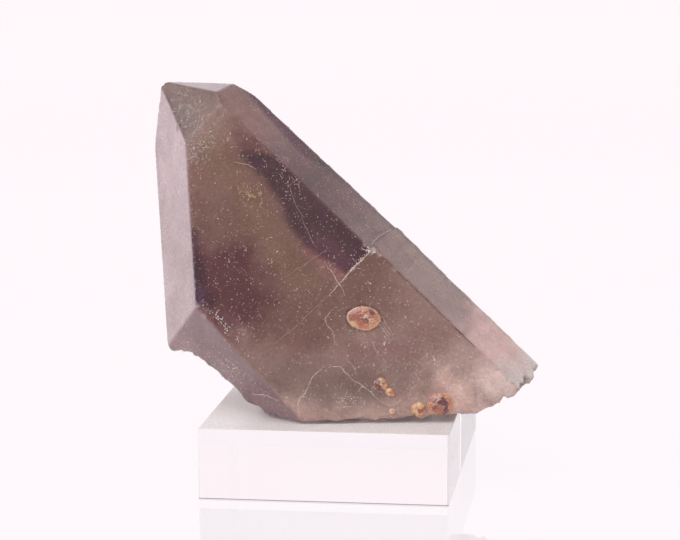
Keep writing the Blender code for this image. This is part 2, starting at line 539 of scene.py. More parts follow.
@dataclass(frozen=True)
class SmokyQuartzFinish:
    """See-through grey-brown crystal: cloudy inside, a glossy skin, a frosted break."""

    absorb_colour: Triple = (0.544, 0.367, 0.305)
    absorb_density: float = 150.0
    ior: float = 1.544
    face_roughness: Pair = (0.24, 0.36)
    break_roughness: float = 0.5
    coat_weight: float = 0.2
    coat_roughness: float = 0.06
    cloud_size: float = 5.0
    cloud_shades: Shades = ((1.08, 1.07, 1.06), (0.80, 0.75, 0.73))
    grain_size: float = 0.5
    grain_shades: Shades = ((0.80, 0.80, 0.81), (1.22, 1.21, 1.19))
    fleck_size: float = 0.24
    fleck_colour: Triple = (0.85, 0.72, 0.64)
    fleck_haze: float = 0.6
    stripe_scale: Triple = (0.05, 0.05, 2.2)
    stripe_depth: float = 0.03
    pit_size: float = 0.3
    pit_depth: float = 0.02
    worn_size: float = 2.2

    def material(self) -> bpy.types.Material:
        """Builds the material.

        Returns:
            The finished material.
        """
        nodes = FinishNodes("smoky_quartz_finish")
        nodes.set(IOR=self.ior, Metallic=0.0, Coat_Weight=self.coat_weight)
        nodes.set(Coat_Roughness=self.coat_roughness, Coat_IOR=self.ior)
        cloud = nodes.spread(nodes.noise(self.cloud_size), 0.35, 0.7, 0.0, 1.0)
        colour = nodes.mix(cloud, *self.cloud_shades)
        # the stored tint holds the smoky tone and the zones of painted shade and reflection
        colour = nodes.mix(1.0, nodes.stored("smoke_and_shade", "Color"), colour, "MULTIPLY")
        grain = nodes.spread(nodes.noise(self.grain_size, 5.0, 0.7), 0.3, 0.7, 0.0, 1.0)
        colour = nodes.mix(1.0, colour, nodes.mix(grain, *self.grain_shades), "MULTIPLY")
        flecks = nodes.spread(nodes.noise(self.fleck_size, 2.0, 0.5), 0.64, 0.71, 0.0, 0.75)
        nodes.link(nodes.mix(flecks, colour, self.fleck_colour), "Base Color")
        rough = nodes.spread(nodes.noise(self.worn_size), 0.3, 0.75, *self.face_roughness)
        inputs = {0: nodes.stored("broken"), 2: rough, 3: self.break_roughness}
        nodes.link(nodes.add("ShaderNodeMix", inputs).outputs[0], "Roughness")
        fleck_haze = nodes.maths("MULTIPLY", flecks, self.fleck_haze)
        haze = nodes.maths("ADD", nodes.stored("haze"), fleck_haze)
        nodes.link(nodes.spread(haze, 0.0, 1.0, 1.0, 0.0), "Transmission Weight")
        inputs = {0: nodes.stored("grown", "Vector"), 1: self.stripe_scale}
        stretched = nodes.add("ShaderNodeVectorMath", inputs, operation="MULTIPLY")
        under = nodes.bump(nodes.scaled_noise(stretched.outputs[0], 3.0), self.stripe_depth, 0.5)
        pits = nodes.noise(self.pit_size, 4.0, 0.6)
        nodes.link(nodes.bump(pits, self.pit_depth, 0.6, under), "Normal")
        nodes.absorb(self.absorb_colour, self.absorb_density)
        return nodes.material


@dataclass(frozen=True)
class ClearAcrylicFinish:
    """Polished clear block, finely dusted and scuffed on top, with a painted contact shadow line
    along its front foot.
    """

    ior: float = 1.49
    absorb_colour: Triple = (0.93, 0.95, 0.97)
    absorb_density: float = 3.0
    dust_colour: Triple = (1.0, 0.95, 0.92)
    grime_colour: Triple = (0.93, 0.86, 0.86)
    # painted contact shadow: the dark grey of the line along the block's front foot
    foot_shadow_colour: Triple = (0.30, 0.27, 0.30)
    dust_share: Pair = (0.78, 0.98)
    clear_colour: Triple = (1.0, 0.985, 0.99)
    grain_scale: Triple = (3600.0, 640.0, 1.0)
    wipe_scale: Triple = (500.0, 20.0, 1.0)
    wipe_turn: Triple = (0.0, 0.0, 0.25)
    frost_share: float = 0.7
    matt_roughness: float = 0.3
    scuff_size: float = 3.0
    scuff_roughness: float = 0.025

    def material(self) -> bpy.types.Material:
        """Builds the material.

        Returns:
            The finished material.
        """
        nodes = FinishNodes("clear_acrylic_finish")
        nodes.set(IOR=self.ior, Metallic=0.0)
        on_top = nodes.stored("top_share")
        frosted = nodes.stored("frosted")
        drawn = nodes.add("ShaderNodeMapping", {0: nodes.places, "Scale": self.grain_scale})
        grains = nodes.spread(nodes.scaled_noise(drawn.outputs[0], 4.0), 0.42, 0.6, 0.0, 1.0)
        inputs = {0: nodes.places, "Rotation": self.wipe_turn, "Scale": self.wipe_scale}
        turned = nodes.add("ShaderNodeMapping", inputs)
        wiped = nodes.spread(nodes.scaled_noise(turned.outputs[0], 3.0), 0.3, 0.7, 0.8, 1.1)
        dust = nodes.maths("MULTIPLY", nodes.spread(grains, 0.0, 1.0, *self.dust_share), wiped)
        frost = nodes.maths("MULTIPLY", frosted, self.frost_share)
        cover = nodes.maths("ADD", nodes.maths("MULTIPLY", dust, on_top), frost)
        dusty = nodes.mix(grains, self.grime_colour, self.dust_colour)
        colour = nodes.mix(on_top, self.clear_colour, dusty)
        # the low front faces at the foot take the painted contact shadow colour
        nodes.link(nodes.mix(nodes.stored("foot_shadow_line"), colour, self.foot_shadow_colour), "Base Color")
        nodes.link(nodes.spread(cover, 0.0, 1.0, 1.0, 0.0), "Transmission Weight")
        scuffs = nodes.spread(nodes.noise(self.scuff_size), 0.45, 0.8, 0.0, self.scuff_roughness)
        matt = nodes.maths("MULTIPLY", nodes.maths("ADD", on_top, frosted), self.matt_roughness)
        nodes.link(nodes.maths("ADD", scuffs, matt), "Roughness")
        nodes.absorb(self.absorb_colour, self.absorb_density)
        return nodes.material


@dataclass(frozen=True)
class SpessartineFinish:
    """Glossy garnet that takes its lobes, dark hearts and pale cracks from the mesh."""

    ior: float = 1.8
    roughness: Pair = (0.16, 0.42)
    coat_weight: float = 0.4
    coat_roughness: float = 0.08
    mottle_size: float = 0.3
    mottle_shades: Shades = ((0.72, 0.62, 0.6), (1.18, 1.16, 1.12))
    pit_size: float = 0.2
    pit_colour: Triple = (0.16, 0.045, 0.04)
    glint_size: float = 0.13
    glint_colour: Triple = (0.92, 0.66, 0.46)
    relief_size: float = 0.14
    relief_depth: float = 0.03

    def material(self) -> bpy.types.Material:
        """Builds the material.

        Returns:
            The finished material.
        """
        nodes = FinishNodes("spessartine_finish")
        nodes.set(IOR=self.ior, Metallic=0.0)
        nodes.set(Coat_Weight=self.coat_weight, Coat_Roughness=self.coat_roughness)
        mottle = nodes.spread(nodes.noise(self.mottle_size, 5.0, 0.65), 0.3, 0.7, 0.0, 1.0)
        shade = nodes.mix(mottle, *self.mottle_shades)
        body = nodes.mix(1.0, nodes.stored("tint", "Color"), shade, "MULTIPLY")
        pits = nodes.spread(nodes.noise(self.pit_size, 3.0, 0.6), 0.56, 0.66, 0.0, 0.6)
        body = nodes.mix(pits, body, self.pit_colour)
        glints = nodes.spread(nodes.noise(self.glint_size, 2.0), 0.62, 0.7, 0.0, 0.5)
        nodes.link(nodes.mix(glints, body, self.glint_colour), "Base Color")
        nodes.link(nodes.spread(mottle, 0.0, 1.0, *self.roughness), "Roughness")
        nodes.link(nodes.bump(nodes.noise(self.relief_size, 4.0), self.relief_depth, 0.7), "Normal")
        return nodes.material


@dataclass(frozen=True)
class PaleFleckFinish:
    """Pale chipped quartz of fine cracks, fibres and flecks."""

    roughness: float = 0.45
    ior: float = 1.5
    uneven_size: float = 0.7
    uneven_shades: Shades = ((0.7, 0.66, 0.66), (1.1, 1.08, 1.08))

    def material(self) -> bpy.types.Material:
        """Builds the material.

        Returns:
            The finished material.
        """
        nodes = FinishNodes("pale_fleck_finish")
        nodes.set(Roughness=self.roughness, IOR=self.ior, Metallic=0.0)
        uneven = nodes.spread(nodes.noise(self.uneven_size, 4.0), 0.3, 0.7, 0.0, 1.0)
        shade = nodes.mix(uneven, *self.uneven_shades)
        nodes.link(nodes.mix(1.0, nodes.stored("tint", "Color"), shade, "MULTIPLY"), "Base Color")
        return nodes.material


@dataclass(frozen=True)
class StudioFloorFinish:
    """Pale glowing floor under a clear gloss."""

    colour: Triple = (0.05, 0.047, 0.049)
    glow: Triple = (1.0, 0.945, 0.98)
    glow_strength: float = 0.955
    gloss_roughness: float = 0.025
    gloss_ior: float = 1.35

    def material(self) -> bpy.types.Material:
        """Builds the material.

        Returns:
            The finished material.
        """
        nodes = FinishNodes("studio_floor_finish")
        nodes.set(Base_Color=(*self.colour, 1.0), Metallic=0.0)
        nodes.set(Roughness=1.0, Specular_IOR_Level=0.0)
        nodes.set(Coat_Weight=1.0, Coat_Roughness=self.gloss_roughness, Coat_IOR=self.gloss_ior)
        nodes.set(Emission_Color=(*self.glow, 1.0), Emission_Strength=self.glow_strength)
        return nodes.material


# Crystal


@dataclass(frozen=True)
class CrystalFace:
    """One flat face: where it lies, how cloudy it looks and how it tints the light.

    The direction runs round the long axis, and the distance is taken from the seat.
    """

    direction: float
    from_axis: float
    distance: float
    haze: float
    tint: Triple

    def normal(self) -> np.ndarray:
        """Outward direction in the crystal's own frame."""
        around, polar = math.radians(self.direction), math.radians(self.from_axis)
        flat = math.sin(polar)
        return np.array([math.sin(around) * flat, -math.cos(around) * flat, math.cos(polar)])

    def place(self, across: float, along: float) -> np.ndarray:
        """Finds the place on the face that has two given measures.

        Args:
            across: measure across the crystal.
            along: measure along its long axis.

        Returns:
            The place in the crystal's own frame.
        """
        normal = self.normal()
        deep = (self.distance - normal[0] * across - normal[2] * along) / normal[1]
        return np.array([across, deep, along])


class FaceName(Enum):
    """The crystal's faces, as seen from its front."""

    FRONT = CrystalFace(0.0, 90.0, 0.0, 0.32, (0.56, 0.385, 0.35))
    RIGHT_BEVEL = CrystalFace(60.0, 90.8, 20.4, 0.4, (0.80, 0.53, 0.51))
    RIGHT_BACK = CrystalFace(120.0, 88.5, 31.5, 0.25, (0.72, 0.64, 0.62))
    BACK = CrystalFace(180.0, 90.0, 16.0, 0.25, (0.74, 0.64, 0.62))
    LEFT_BACK = CrystalFace(-120.0, 90.0, 12.0, 0.25, (0.72, 0.63, 0.61))
    LEFT_BEVEL = CrystalFace(-60.0, 86.9, 0.5, 0.42, (0.45, 0.305, 0.34))
    TIP_FACET = CrystalFace(0.0, 51.8, 24.8, 0.32, (0.52, 0.30, 0.26))
    TOP = CrystalFace(60.0, 51.8, 42.5, 0.62, (0.82, 0.67, 0.72))
    TOP_BACK = CrystalFace(120.0, 51.8, 48.4, 0.3, (0.70, 0.62, 0.62))
    TIP_BACK = CrystalFace(180.0, 51.8, 36.1, 0.3, (0.70, 0.62, 0.62))
    LEFT_SIDE_BACK = CrystalFace(-120.0, 51.8, 21.9, 0.45, (0.70, 0.60, 0.63))
    LEFT_SIDE = CrystalFace(-60.0, 51.8, 13.4, 0.66, (0.66, 0.535, 0.58))


@dataclass(frozen=True)
class CrystalPose:
    """How the crystal stands: +Z is its long axis and -Y its front face."""

    seat: Triple = (-2.6, -20.7, 10.3)
    turn: float = 9.8
    lean: float = 16.3
    slant: float = 45.6

    def rotation(self) -> Matrix:
        """Rotation from the crystal's frame to the world."""
        return (
            Matrix.Rotation(math.radians(self.turn), 3, "Z")
            @ Matrix.Rotation(math.radians(-self.lean), 3, "X")
            @ Matrix.Rotation(math.radians(-self.slant), 3, "Y")
        )

    def to_world(self, points: np.ndarray) -> np.ndarray:
        """Moves places from the crystal's frame to the world."""
        return points @ np.array(self.rotation()).T + np.array(self.seat)

    def to_crystal(self, points: np.ndarray) -> np.ndarray:
        """Moves places from the world to the crystal's frame."""
        return (points - np.array(self.seat)) @ np.array(self.rotation())


@dataclass(frozen=True)
class SmokeAndShadeZone:
    """A darker or paler zone of one face, with a soft edge: most zones are the crystal's smoky
    tone, a few are painted shade and reflection.

    Its outline is given across and along the crystal. It stops short below the height
    called stop, where a healed crack cuts it off.
    """

    name: str
    outline: tuple[Pair, ...]
    softness: float
    colour: Triple
    stop: float = -100.0
    haze: float = 0.0
    face: FaceName = FaceName.FRONT
    wander_size: float = 3.0
    wander: float = 0.5
    stop_reach: float = 0.4

    def share(self, places: np.ndarray) -> np.ndarray:
        """How strongly each place across and along the crystal lies in the zone.

        Args:
            places: measures across and along the crystal.

        Returns:
            A share from 0 to 1 for each place.
        """
        relief = layered_noise(level_places(places), self.wander_size, 71, 4)
        distance = outline_distance(places, self.outline)
        distance = distance + relief * self.softness * self.wander
        inside = 1.0 - smooth_share(-self.softness, self.softness, distance)
        return inside * smooth_share(self.stop, self.stop + self.stop_reach, places[:, 1])


@dataclass(frozen=True)
class EdgeNick:
    """A small hollow knocked out of an edge, as a ball in the crystal's frame."""

    place: Triple
    radius: float


@dataclass
class QuartzCrystal:
    """The quartz crystal: flat faces, growth steps, nicked edges and a broken underside."""

    pose: CrystalPose = field(default_factory=CrystalPose)
    grid: float = 0.275
    edge_round: float = 0.04
    back_heights: tuple[float, ...] = (-16.0, -8.0, 0.4, 0.6, 10.4, 10.8, 24.0, 24.2)
    back_growth: tuple[float, ...] = (-0.8, -0.5, -0.38, -0.3, 0.27, 0.42, 0.42, 0.3)
    bevel_ledge: float = 0.45
    ledge_height: float = 10.6
    ledge_slope: float = 0.2
    filling_growth: float = 1.35
    box_margin: float = 0.005
    fine_blend: float = 0.06
    break_relaxing: tuple[tuple[int, float, float], ...] = ((2, 0.06, 0.2), (1, 0.3, 0.08))
    striped_from: float = 80.0
    least_slope: float = 0.25
    longest_move: float = 0.5
    swell_size: float = 5.0
    swell_height: float = 0.02
    stripe_size: Triple = (5.0, 5.0, 0.7)
    ripple_size: float = 1.6
    ripple_height: float = 0.008
    wide_chips: Pair = (2.6, 0.34)
    fine_chips: Pair = (0.9, 0.4)
    break_grain: Pair = (0.9, 0.08)
    least_chipping: float = 0.35
    full_chipping: float = 2.5
    bevel_stripes: Triple = (6.0, 6.0, 0.9)
    bevel_contrast: float = 0.16
    tint_range: Pair = (0.02, 0.95)
    block_top: float = 10.0
    seat_gap: float = 0.3
    steepness: float = 0.85
    relief_reach: float = 0.8
    break_reach: float = 3.0
    break_haze: float = 0.55
    break_tint: Triple = (0.66, 0.54, 0.52)
    underside: tuple[Pair, ...] = (
        (-30.0, 10.4), (-24.0, 8.2), (-20.0, 7.6), (-16.5, 6.2), (-13.0, 2.6), (-9.5, 0.5),
        (-4.0, 0.0), (6.0, 0.3), (14.0, 0.7), (18.4, 0.72), (20.8, 0.75), (21.3, 1.45),
        (22.7, 1.7), (23.9, 2.2), (24.25, 2.95), (25.5, 3.2), (26.6, 4.1), (28.6, 4.4),
        (29.6, 7.0), (34.0, 12.0),
    )
    nicks: tuple[EdgeNick, ...] = (
        EdgeNick((17.4, 2.3, 42.7), 0.5),
        EdgeNick((24.1, -0.1, 10.4), 0.6),
        EdgeNick((24.2, 0.0, 9.2), 0.32),
        EdgeNick((24.15, 0.0, 6.2), 0.28),
        EdgeNick((23.75, -0.1, 11.6), 0.3),
        EdgeNick((1.1, 0.0, 22.6), 0.28),
        EdgeNick((0.6, 0.3, 20.9), 0.35),
        EdgeNick((31.0, 12.6, 24.0), 0.4),
    )
    zones: tuple[SmokeAndShadeZone, ...] = (
        SmokeAndShadeZone(
            "smoky middle",
            (
                (-1.0, 33.0), (9.0, 38.0), (24.0, 37.0), (27.0, 28.0), (27.0, 7.0), (17.0, 2.6),
                (10.0, 5.8), (3.0, 12.0),
            ),
            softness=3.5, colour=(0.57, 0.485, 0.46),
        ),
        # painted shade: the dark band, its paler foot and its violet head stand in for the dark
        # band that internal reflection makes
        SmokeAndShadeZone(
            "dark band",
            (
                (21.0, 33.2), (23.2, 31.2), (27.0, 27.0), (27.0, 9.0), (18.6, 9.0), (18.2, 13.0),
                (17.6, 17.6), (18.9, 22.4), (20.0, 25.4), (20.7, 28.7), (20.6, 32.0),
            ),
            softness=0.7, colour=(0.23, 0.18, 0.34), stop=10.3,
        ),
        SmokeAndShadeZone(
            "band foot",
            ((17.4, 17.0), (20.4, 18.6), (21.8, 13.0), (21.6, 9.0), (17.4, 9.0)),
            softness=1.2, colour=(1.9, 1.6, 1.8), stop=10.3,
        ),
        SmokeAndShadeZone(
            "band head",
            ((20.8, 33.0), (22.4, 35.8), (24.4, 35.0), (24.4, 30.5), (22.6, 30.5)),
            softness=0.9, colour=(0.66, 0.52, 0.66),
        ),
        SmokeAndShadeZone(
            "maroon corner",
            ((1.0, 29.0), (7.5, 31.0), (12.5, 22.5), (9.6, 15.5), (6.0, 13.0), (0.0, 16.0)),
            softness=2.6, colour=(0.44, 0.24, 0.36),
        ),
        SmokeAndShadeZone(
            "olive streak",
            ((21.0, 39.0), (18.0, 39.0), (13.5, 26.0), (12.0, 14.0), (15.0, 13.0), (17.5, 26.0)),
            softness=2.0, colour=(1.04, 1.12, 0.92),
        ),
        SmokeAndShadeZone(
            "dark foot",
            ((2.5, 9.5), (7.0, 12.0), (11.5, 8.5), (9.0, 5.5), (5.0, 7.0)),
            softness=1.6, colour=(0.8, 0.72, 0.72),
        ),
        SmokeAndShadeZone(
            "pale patch",
            ((1.8, 7.2), (3.6, 7.2), (4.4, 5.2), (3.0, 4.2), (1.8, 5.6)),
            softness=1.2, colour=(1.22, 1.22, 1.16),
        ),
        SmokeAndShadeZone(
            "dark spot",
            ((0.2, 7.4), (1.2, 7.6), (1.6, 6.6), (0.6, 6.3)),
            softness=0.6, colour=(0.74, 0.74, 0.78),
        ),
        SmokeAndShadeZone(
            "mauve streak",
            ((10.0, 4.4), (13.0, 2.6), (18.5, -2.6), (18.0, -4.6), (13.5, -0.6), (10.2, 1.6)),
            softness=1.0, colour=(0.9, 0.82, 0.87),
        ),
        # painted shade and reflection: the dark strip and the thin blue line along the left front
        # edge stand in for an internal reflection at a chipped edge
        SmokeAndShadeZone(
            "dark edge",
            ((0.3, 23.1), (7.5, 31.0), (8.6, 30.2), (3.4, 21.4), (2.0, 21.0)),
            softness=0.8, colour=(0.4, 0.31, 0.66),
        ),
        SmokeAndShadeZone(
            "blue edge",
            ((0.3, 23.1), (6.9, 30.2), (7.5, 29.8), (1.3, 22.3)),
            softness=0.15, colour=(0.14, 0.05, 0.8),
        ),
        SmokeAndShadeZone(
            "pale right end",
            ((15.0, -14.5), (19.5, -8.5), (24.5, -7.5), (28.0, -9.0), (29.0, -24.0), (15.0, -24.0)),
            softness=4.2, colour=(1.16, 1.22, 1.23), haze=0.3,
        ),
        SmokeAndShadeZone(
            "far right tip",
            ((22.0, -13.0), (26.0, -12.0), (31.0, -14.0), (31.0, -24.0), (20.0, -22.0)),
            softness=2.2, colour=(1.38, 1.47, 1.5), haze=0.2,
        ),
        SmokeAndShadeZone(
            "pale bevel end",
            ((22.0, -7.0), (32.0, -5.0), (34.0, -22.0), (20.0, -22.0)),
            softness=4.0, colour=(1.24, 1.22, 1.2), haze=0.36, face=FaceName.RIGHT_BEVEL,
        ),
        SmokeAndShadeZone(
            "smoky bevel",
            ((20.0, 11.0), (34.0, 11.0), (34.0, 50.0), (20.0, 50.0)),
            softness=1.0, colour=(1.0, 0.94, 0.97), haze=0.3, face=FaceName.RIGHT_BEVEL,
        ),
        SmokeAndShadeZone(
            "brown upper bevel",
            ((20.0, 30.0), (28.6, 30.0), (28.6, 50.0), (20.0, 50.0)),
            softness=2.5, colour=(0.98, 0.82, 0.76), face=FaceName.RIGHT_BEVEL,
        ),
        SmokeAndShadeZone(
            "plum bevel",
            ((20.0, 17.0), (34.0, 17.0), (34.0, 30.0), (20.0, 30.0)),
            softness=2.5, colour=(1.1, 0.8, 0.92), face=FaceName.RIGHT_BEVEL,
        ),
        SmokeAndShadeZone(
            "grey-green bevel",
            ((20.0, 10.0), (34.0, 10.0), (34.0, -5.0), (20.0, -5.0)),
            softness=2.5, colour=(0.95, 1.03, 1.0), face=FaceName.RIGHT_BEVEL,
        ),
        SmokeAndShadeZone(
            "grey tip",
            ((15.0, 50.0), (12.0, 38.0), (17.0, 36.0), (20.5, 41.0), (21.5, 44.0), (20.0, 48.0)),
            softness=1.4, colour=(0.8, 0.88, 0.96), face=FaceName.TIP_FACET,
        ),
        SmokeAndShadeZone(
            "grey tip foot",
            ((15.5, 41.5), (15.4, 38.0), (17.5, 37.6), (20.0, 40.8), (19.0, 42.0)),
            softness=1.2, colour=(0.88, 0.92, 0.98),
        ),
        SmokeAndShadeZone(
            "pale left tip",
            ((4.0, 50.0), (12.5, 37.0), (24.0, 44.0), (20.0, 52.0)),
            softness=2.0, colour=(1.2, 1.18, 1.17), face=FaceName.LEFT_SIDE,
        ),
        # painted shade: a dark violet rim along the right bevel's outer edge, where the crystal's
        # outline turns away
        SmokeAndShadeZone(
            "violet rim",
            (
                (29.6, 44.0), (28.9, 38.0), (28.2, 34.0), (27.8, 30.0), (27.9, 27.0), (28.9, 24.6),
                (33.0, 24.0), (33.0, 44.0),
            ),
            softness=0.45, colour=(0.42, 0.16, 0.36), face=FaceName.RIGHT_BEVEL,
        ),
        SmokeAndShadeZone(
            "pale lower edge",
            (
                (-4.0, 9.0), (0.5, 7.0), (1.6, 2.2), (7.0, -2.6), (12.5, -6.8), (18.0, -9.0),
                (20.0, -20.0), (-6.0, -4.0),
            ),
            softness=1.8, colour=(1.5, 1.46, 1.42), haze=0.2,
        ),
        SmokeAndShadeZone(
            "pale upper end",
            ((26.0, 30.0), (22.5, 33.0), (18.0, 37.0), (10.0, 34.0), (16.0, 48.0), (32.0, 42.0)),
            softness=2.5, colour=(1.12, 1.1, 1.08), haze=0.06,
        ),
    )
    bevel_heights: tuple[float, ...] = (-18.0, -10.0, 0.0, 10.2, 10.7, 24.0, 36.0)
    bevel_shades: tuple[float, ...] = (1.36, 0.84, 0.8, 0.62, 0.34, 0.14, 0.47)

    def growth(self, name: FaceName, along: np.ndarray) -> np.ndarray:
        """How far the right side's faces have grown out beyond their flat planes.

        Args:
            name: which face.
            along: heights along the crystal's long axis.

        Returns:
            One distance for each height, 0 for the other faces.
        """
        if name is FaceName.RIGHT_BACK:
            return np.interp(along, self.back_heights, self.back_growth)
        if name is FaceName.RIGHT_BEVEL:
            low, high = self.ledge_height - self.ledge_slope, self.ledge_height + self.ledge_slope
            return (1.0 - smooth_share(low, high, along)) * self.bevel_ledge
        return np.zeros_like(along)

    def face_relief(self, name: FaceName, own: np.ndarray) -> np.ndarray:
        """Fine growth relief of one face.

        Args:
            name: which face.
            own: places in the crystal's frame.

        Returns:
            How far the face stands out at each place.
        """
        seed = 11 + 7 * list(FaceName).index(name)
        striped = name.value.from_axis > self.striped_from
        fine_size = self.stripe_size if striped else self.ripple_size
        swell = smooth_noise(own, self.swell_size, seed) * self.swell_height
        return swell + smooth_noise(own, fine_size, seed + 3) * self.ripple_height

    def underside_rise(self, places: np.ndarray) -> np.ndarray:
        """How far the underside's drawn line lies above the block at each place in the world."""
        corners = np.array(self.underside)
        return np.interp(places[:, 0], corners[:, 0], corners[:, 1])

    def break_height(self, places: np.ndarray) -> np.ndarray:
        """Height of the broken underside over each place on the ground.

        Args:
            places: places in the world.

        Returns:
            One height for each place.
        """
        rise = self.underside_rise(places)
        flat = places[:, :2]
        rough = chip_facets(flat, *self.wide_chips, 5) + chip_facets(flat, *self.fine_chips, 17)
        grain_size, grain_height = self.break_grain
        rough = rough + layered_noise(level_places(flat), grain_size, 29, 2) * grain_height
        strength = np.minimum(1.0, self.least_chipping + rise / self.full_chipping)
        return self.block_top + self.seat_gap + np.maximum(0.0, rise + rough * strength)

    def terms(self, places: np.ndarray) -> np.ndarray:
        """How far each place lies beyond each surface of the crystal.

        Args:
            places: places in the world.

        Returns:
            One row for each place: the faces in order, then the nicks, then the break.
        """
        own = self.pose.to_crystal(places)
        normals = np.stack([name.value.normal() for name in FaceName])
        beyond = own @ normals.T - np.array([name.value.distance for name in FaceName])
        names = list(FaceName)
        for index, name in enumerate(names):
            beyond[:, index] -= self.growth(name, own[:, 2])
        peak = beyond.max(axis=-1)
        for index, name in enumerate(names):
            near = beyond[:, index] > peak - self.relief_reach
            beyond[near, index] -= self.face_relief(name, own[near])
        nicks = [
            nick.radius - np.linalg.norm(own - np.array(nick.place), axis=-1) for nick in self.nicks
        ]
        broken = self.block_top + self.underside_rise(places) - places[:, 2]
        near = broken > -self.break_reach
        broken[near] = self.break_height(places[near]) - places[near, 2]
        return np.column_stack([beyond, *nicks, broken * self.steepness])

    def slopes(self, places: np.ndarray) -> np.ndarray:
        """Direction in which each place gets further beyond each surface.

        Args:
            places: places in the world.

        Returns:
            One direction for each place and surface, in the order of terms.
        """
        turn = np.array(self.pose.rotation())
        shape = (len(places), 3)
        columns = [np.broadcast_to(turn @ name.value.normal(), shape) for name in FaceName]
        for nick in self.nicks:
            inward = self.pose.to_world(np.array([nick.place])) - places
            reach = np.maximum(np.linalg.norm(inward, axis=-1, keepdims=True), 1e-6)
            columns.append(inward / reach)
        columns.append(np.broadcast_to(np.array([0.0, 0.0, -self.steepness]), shape))
        return np.stack(columns, axis=1)

    def weights(self, terms: np.ndarray, width: float) -> np.ndarray:
        """Share of each surface at each place.

        Args:
            terms: what terms gives.
            width: how softly one surface gives way to the next.

        Returns:
            One row of shares for each place, adding up to 1.
        """
        raised = np.exp((terms - terms.max(axis=-1, keepdims=True)) / width)
        return raised / raised.sum(axis=-1, keepdims=True)

    def settle(self, places: np.ndarray, rounds: int) -> np.ndarray:
        """Moves places onto the crystal's surface.

        Args:
            places: places near the surface.
            rounds: how many times they are moved.

        Returns:
            The moved places.
        """
        for _ in range(rounds):
            terms = self.terms(places)
            shares = self.weights(terms, self.edge_round)
            slope = np.einsum("ij,ijk->ik", shares, self.slopes(places))
            steep = np.maximum(np.einsum("ij,ij->i", slope, slope), self.least_slope)
            peak = terms.max(axis=-1, keepdims=True)
            spread = np.log(np.exp((terms - peak) / self.edge_round).sum(axis=-1))
            beyond = peak[:, 0] + spread * self.edge_round
            moves = np.clip(beyond / steep, -self.longest_move, self.longest_move)
            places = places - slope * moves[:, None]
        return places

    def zone_share(self, zone: SmokeAndShadeZone, own: np.ndarray, shares: np.ndarray) -> np.ndarray:
        """How strongly one zone tints each point.

        Args:
            zone: the zone.
            own: places in the crystal's frame.
            shares: share of each surface at each place.

        Returns:
            A share from 0 to 1 for each place.
        """
        return zone.share(own[:, [0, 2]]) * shares[:, list(FaceName).index(zone.face)]

    def smoke_and_shade_colours(self, own: np.ndarray, shares: np.ndarray) -> np.ndarray:
        """Tint of the crystal at each point: each face's own, changed by the front's zones, a few
        of which are painted shade and reflection.

        Args:
            own: places in the crystal's frame.
            shares: share of each surface at each place.

        Returns:
            Red, green and blue for each place.
        """
        count = len(FaceName)
        colours = shares[:, :count] @ np.array([name.value.tint for name in FaceName])
        colours += shares[:, count:].sum(axis=-1, keepdims=True) * np.array(self.break_tint)
        for zone in self.zones:
            LOG.debug("tinting the %s", zone.name)
            share = self.zone_share(zone, own, shares)[:, None]
            colours *= 1.0 - share * (1.0 - np.array(zone.colour))
        bevel = shares[:, list(FaceName).index(FaceName.RIGHT_BEVEL)]
        shade = np.interp(own[:, 2], self.bevel_heights, self.bevel_shades)
        shade = shade * (1.0 + self.bevel_contrast * smooth_noise(own, self.bevel_stripes, 91))
        colours *= (1.0 - bevel * (1.0 - shade))[:, None]
        return np.clip(colours, *self.tint_range)

    def rough_mesh(self) -> bpy.types.Mesh:
        """Evenly gridded mesh of the crystal with its garnet sockets filled.

        Returns:
            The new mesh.
        """
        shape = bmesh.new()
        shape.from_mesh(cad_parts["smoky_quartz"].data)
        for name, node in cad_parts.items():
            if not name.startswith("spessartine"):
                continue
            filling = node.data.copy()
            points = mesh_points(filling)
            middle = (points.min(axis=0) + points.max(axis=0)) / 2.0
            set_mesh_points(filling, middle + (points - middle) * self.filling_growth)
            shape.from_mesh(filling)
            bpy.data.meshes.remove(filling)
        solid = bpy.data.meshes.new("rough_crystal")
        shape.to_mesh(solid)
        shape.free()
        rough = add_object("rough_crystal", solid)
        remesh = rough.modifiers.new("grid", "REMESH")
        remesh.mode = "VOXEL"
        remesh.voxel_size = self.grid * MM
        shown = rough.evaluated_get(bpy.context.evaluated_depsgraph_get())
        mesh = bpy.data.meshes.new_from_object(shown)
        bpy.data.objects.remove(rough)
        bpy.data.meshes.remove(solid)
        return mesh

